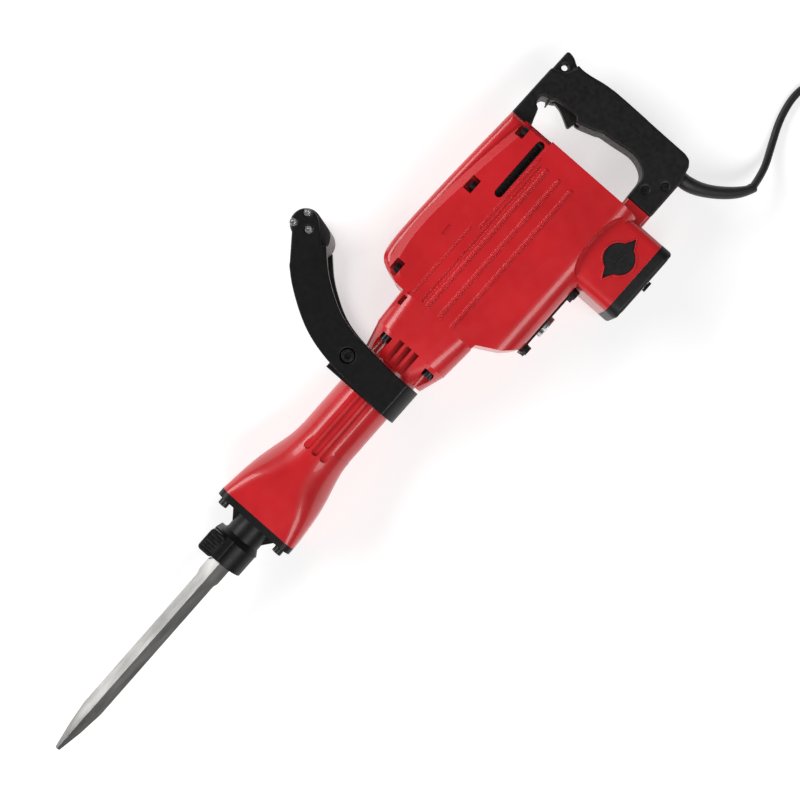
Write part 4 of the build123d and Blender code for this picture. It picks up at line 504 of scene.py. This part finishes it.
moulded("rear_grip_shell", ["rear_grip_upper_half", "rear_grip_lower_half"], 0.9, 40)
moulded("side_arm_upper_casting", ["side_handle_arm_upper"], 0.8, 14)
moulded("side_arm_lower_casting", ["side_handle_arm_lower"], 0.8, 14)


def make_retainer_spring():
    """Copy of the spring that is squeezed against its seat as the retainer is pulled."""
    spring = new_object("retainer_spring_coil", nodes["retainer_spring"].data.copy())
    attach(spring, "retainer_spring_stack")
    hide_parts("retainer_spring")
    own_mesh(spring)


make_retainer_spring()

# ---------------------------------------------------------------- painted shade in the vent slots
VENT_AT = (599.0, 40.5)
VENT_SIZE = (86.0, 11.0)
SHADE_INSERT_GAP = 0.2
SHADE_INSERT_Z = 48.1
LOUVRE_Z = 50.0
LOUVRE_TOP_Z = 52.5
LOUVRE_PITCH = 7.0
LOUVRE_WIDTH = 1.6
LOUVRE_END = 2.0                       # from the shade insert's end to the first louvre
SHADE_INSERT_RIM = 1.2
SHADE_INSERT_EDGE = 0.3


def add_block(model, low, high):
    """Closed box between two corners, added to a bmesh."""
    made = bmesh.ops.create_cube(model, size=1.0)["verts"]
    bmesh.ops.scale(model, vec=high - low, verts=made)
    bmesh.ops.translate(model, vec=(low + high) / 2, verts=made)


def make_vent_slot_shade():
    """Louvred black inserts sunk into the vent slots on both sides: painted shade that stands for the
    dark depth of the slots, not a real part.
    """
    model = bmesh.new()
    (x0, x1), (y0, y1) = [
        (at - size / 2 + SHADE_INSERT_GAP, at + size / 2 - SHADE_INSERT_GAP) for at, size in zip(VENT_AT, VENT_SIZE)
    ]
    for side in (1, -1):
        back, front = sorted((side * SHADE_INSERT_Z, side * LOUVRE_Z))
        near, far = sorted((side * LOUVRE_Z, side * LOUVRE_TOP_Z))
        add_block(model, place(x0, y0, back), place(x1, y1, front))
        x = x0 + LOUVRE_END
        while x < x1 - LOUVRE_END:
            add_block(model, place(x, y0, near), place(x + LOUVRE_WIDTH, y1, far))
            x += LOUVRE_PITCH
        for low, high in ((y0, y0 + SHADE_INSERT_RIM), (y1 - SHADE_INSERT_RIM, y1)):
            add_block(model, place(x0, low, near), place(x1, high, far))
    mesh = bpy.data.meshes.new("vent_slot_shade")
    model.to_mesh(mesh)
    model.free()
    slot_shade = new_object("vent_slot_shade", mesh)
    edges = slot_shade.modifiers.new("edges", "BEVEL")
    edges.width = SHADE_INSERT_EDGE * MM
    edges.segments = 2
    # Black plastic here is painted shade that fills each deep slot.
    paint(slot_shade, MATERIALS["black_plastic"])
    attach(slot_shade, "body")


make_vent_slot_shade()


# ---------------------------------------------------------------- floor and lights
# Metres and watts; lights stand at these places from the middle of the tool.
FLOOR_REACH = 6.0
FLOOR_GLOW = 0.55
LIGHTS = {"key": ((-0.5, 1.9, 1.5), 58), "fill": ((-0.5, -1.3, 2.1), 44)}
LIGHT_SIZE = (3.0, 1.0)
SKY = 0.10


def make_floor():
    """Plain pale floor that glows a little."""
    reach = FLOOR_REACH
    mesh = bpy.data.meshes.new("floor")
    corners = [(-reach, -reach, 0), (reach, -reach, 0), (reach, reach, 0), (-reach, reach, 0)]
    mesh.from_pydata(corners, [], [(0, 1, 2, 3)])
    floor = new_object("floor", mesh)
    shader = Shader("floor").set(Specular_IOR_Level=0.1)
    shader.set(Emission_Color=(1, 1, 1, 1), Emission_Strength=FLOOR_GLOW)
    shader.colour(shader.noise(3, 2), (0.62, 0.62, 0.62), (0.64, 0.64, 0.64))
    shader.rough(shader.noise(20, 2), 0.8, 0.9)
    paint(floor, shader.material)


def soft_light(name, at, aim, power):
    """Large soft light aimed at a point."""
    data = bpy.data.lights.new(name, "AREA")
    data.shape = "RECTANGLE"
    data.size, data.size_y = LIGHT_SIZE
    data.energy = power
    light = new_object(name, data)
    light.location = at
    light.rotation_mode = "QUATERNION"
    light.rotation_quaternion = (aim - light.location).to_track_quat("-Z", "Y")


def make_lights():
    """Bright even studio: a soft box over the handle's side, a weaker one opposite."""
    middle = place(CAMERA_AT[0], 0)
    for name, (offset, power) in LIGHTS.items():
        soft_light(name, middle + Vector(offset), middle, power)
    world = bpy.data.worlds.new("World")
    bpy.context.scene.world = world
    world.use_nodes = True
    sky = world.node_tree.nodes["Background"]
    sky.inputs["Color"].default_value = (1, 1, 1, 1)
    sky.inputs["Strength"].default_value = SKY


make_floor()
make_lights()
bpy.context.scene.view_settings.view_transform = "Standard"

bpy.context.view_layer.update()
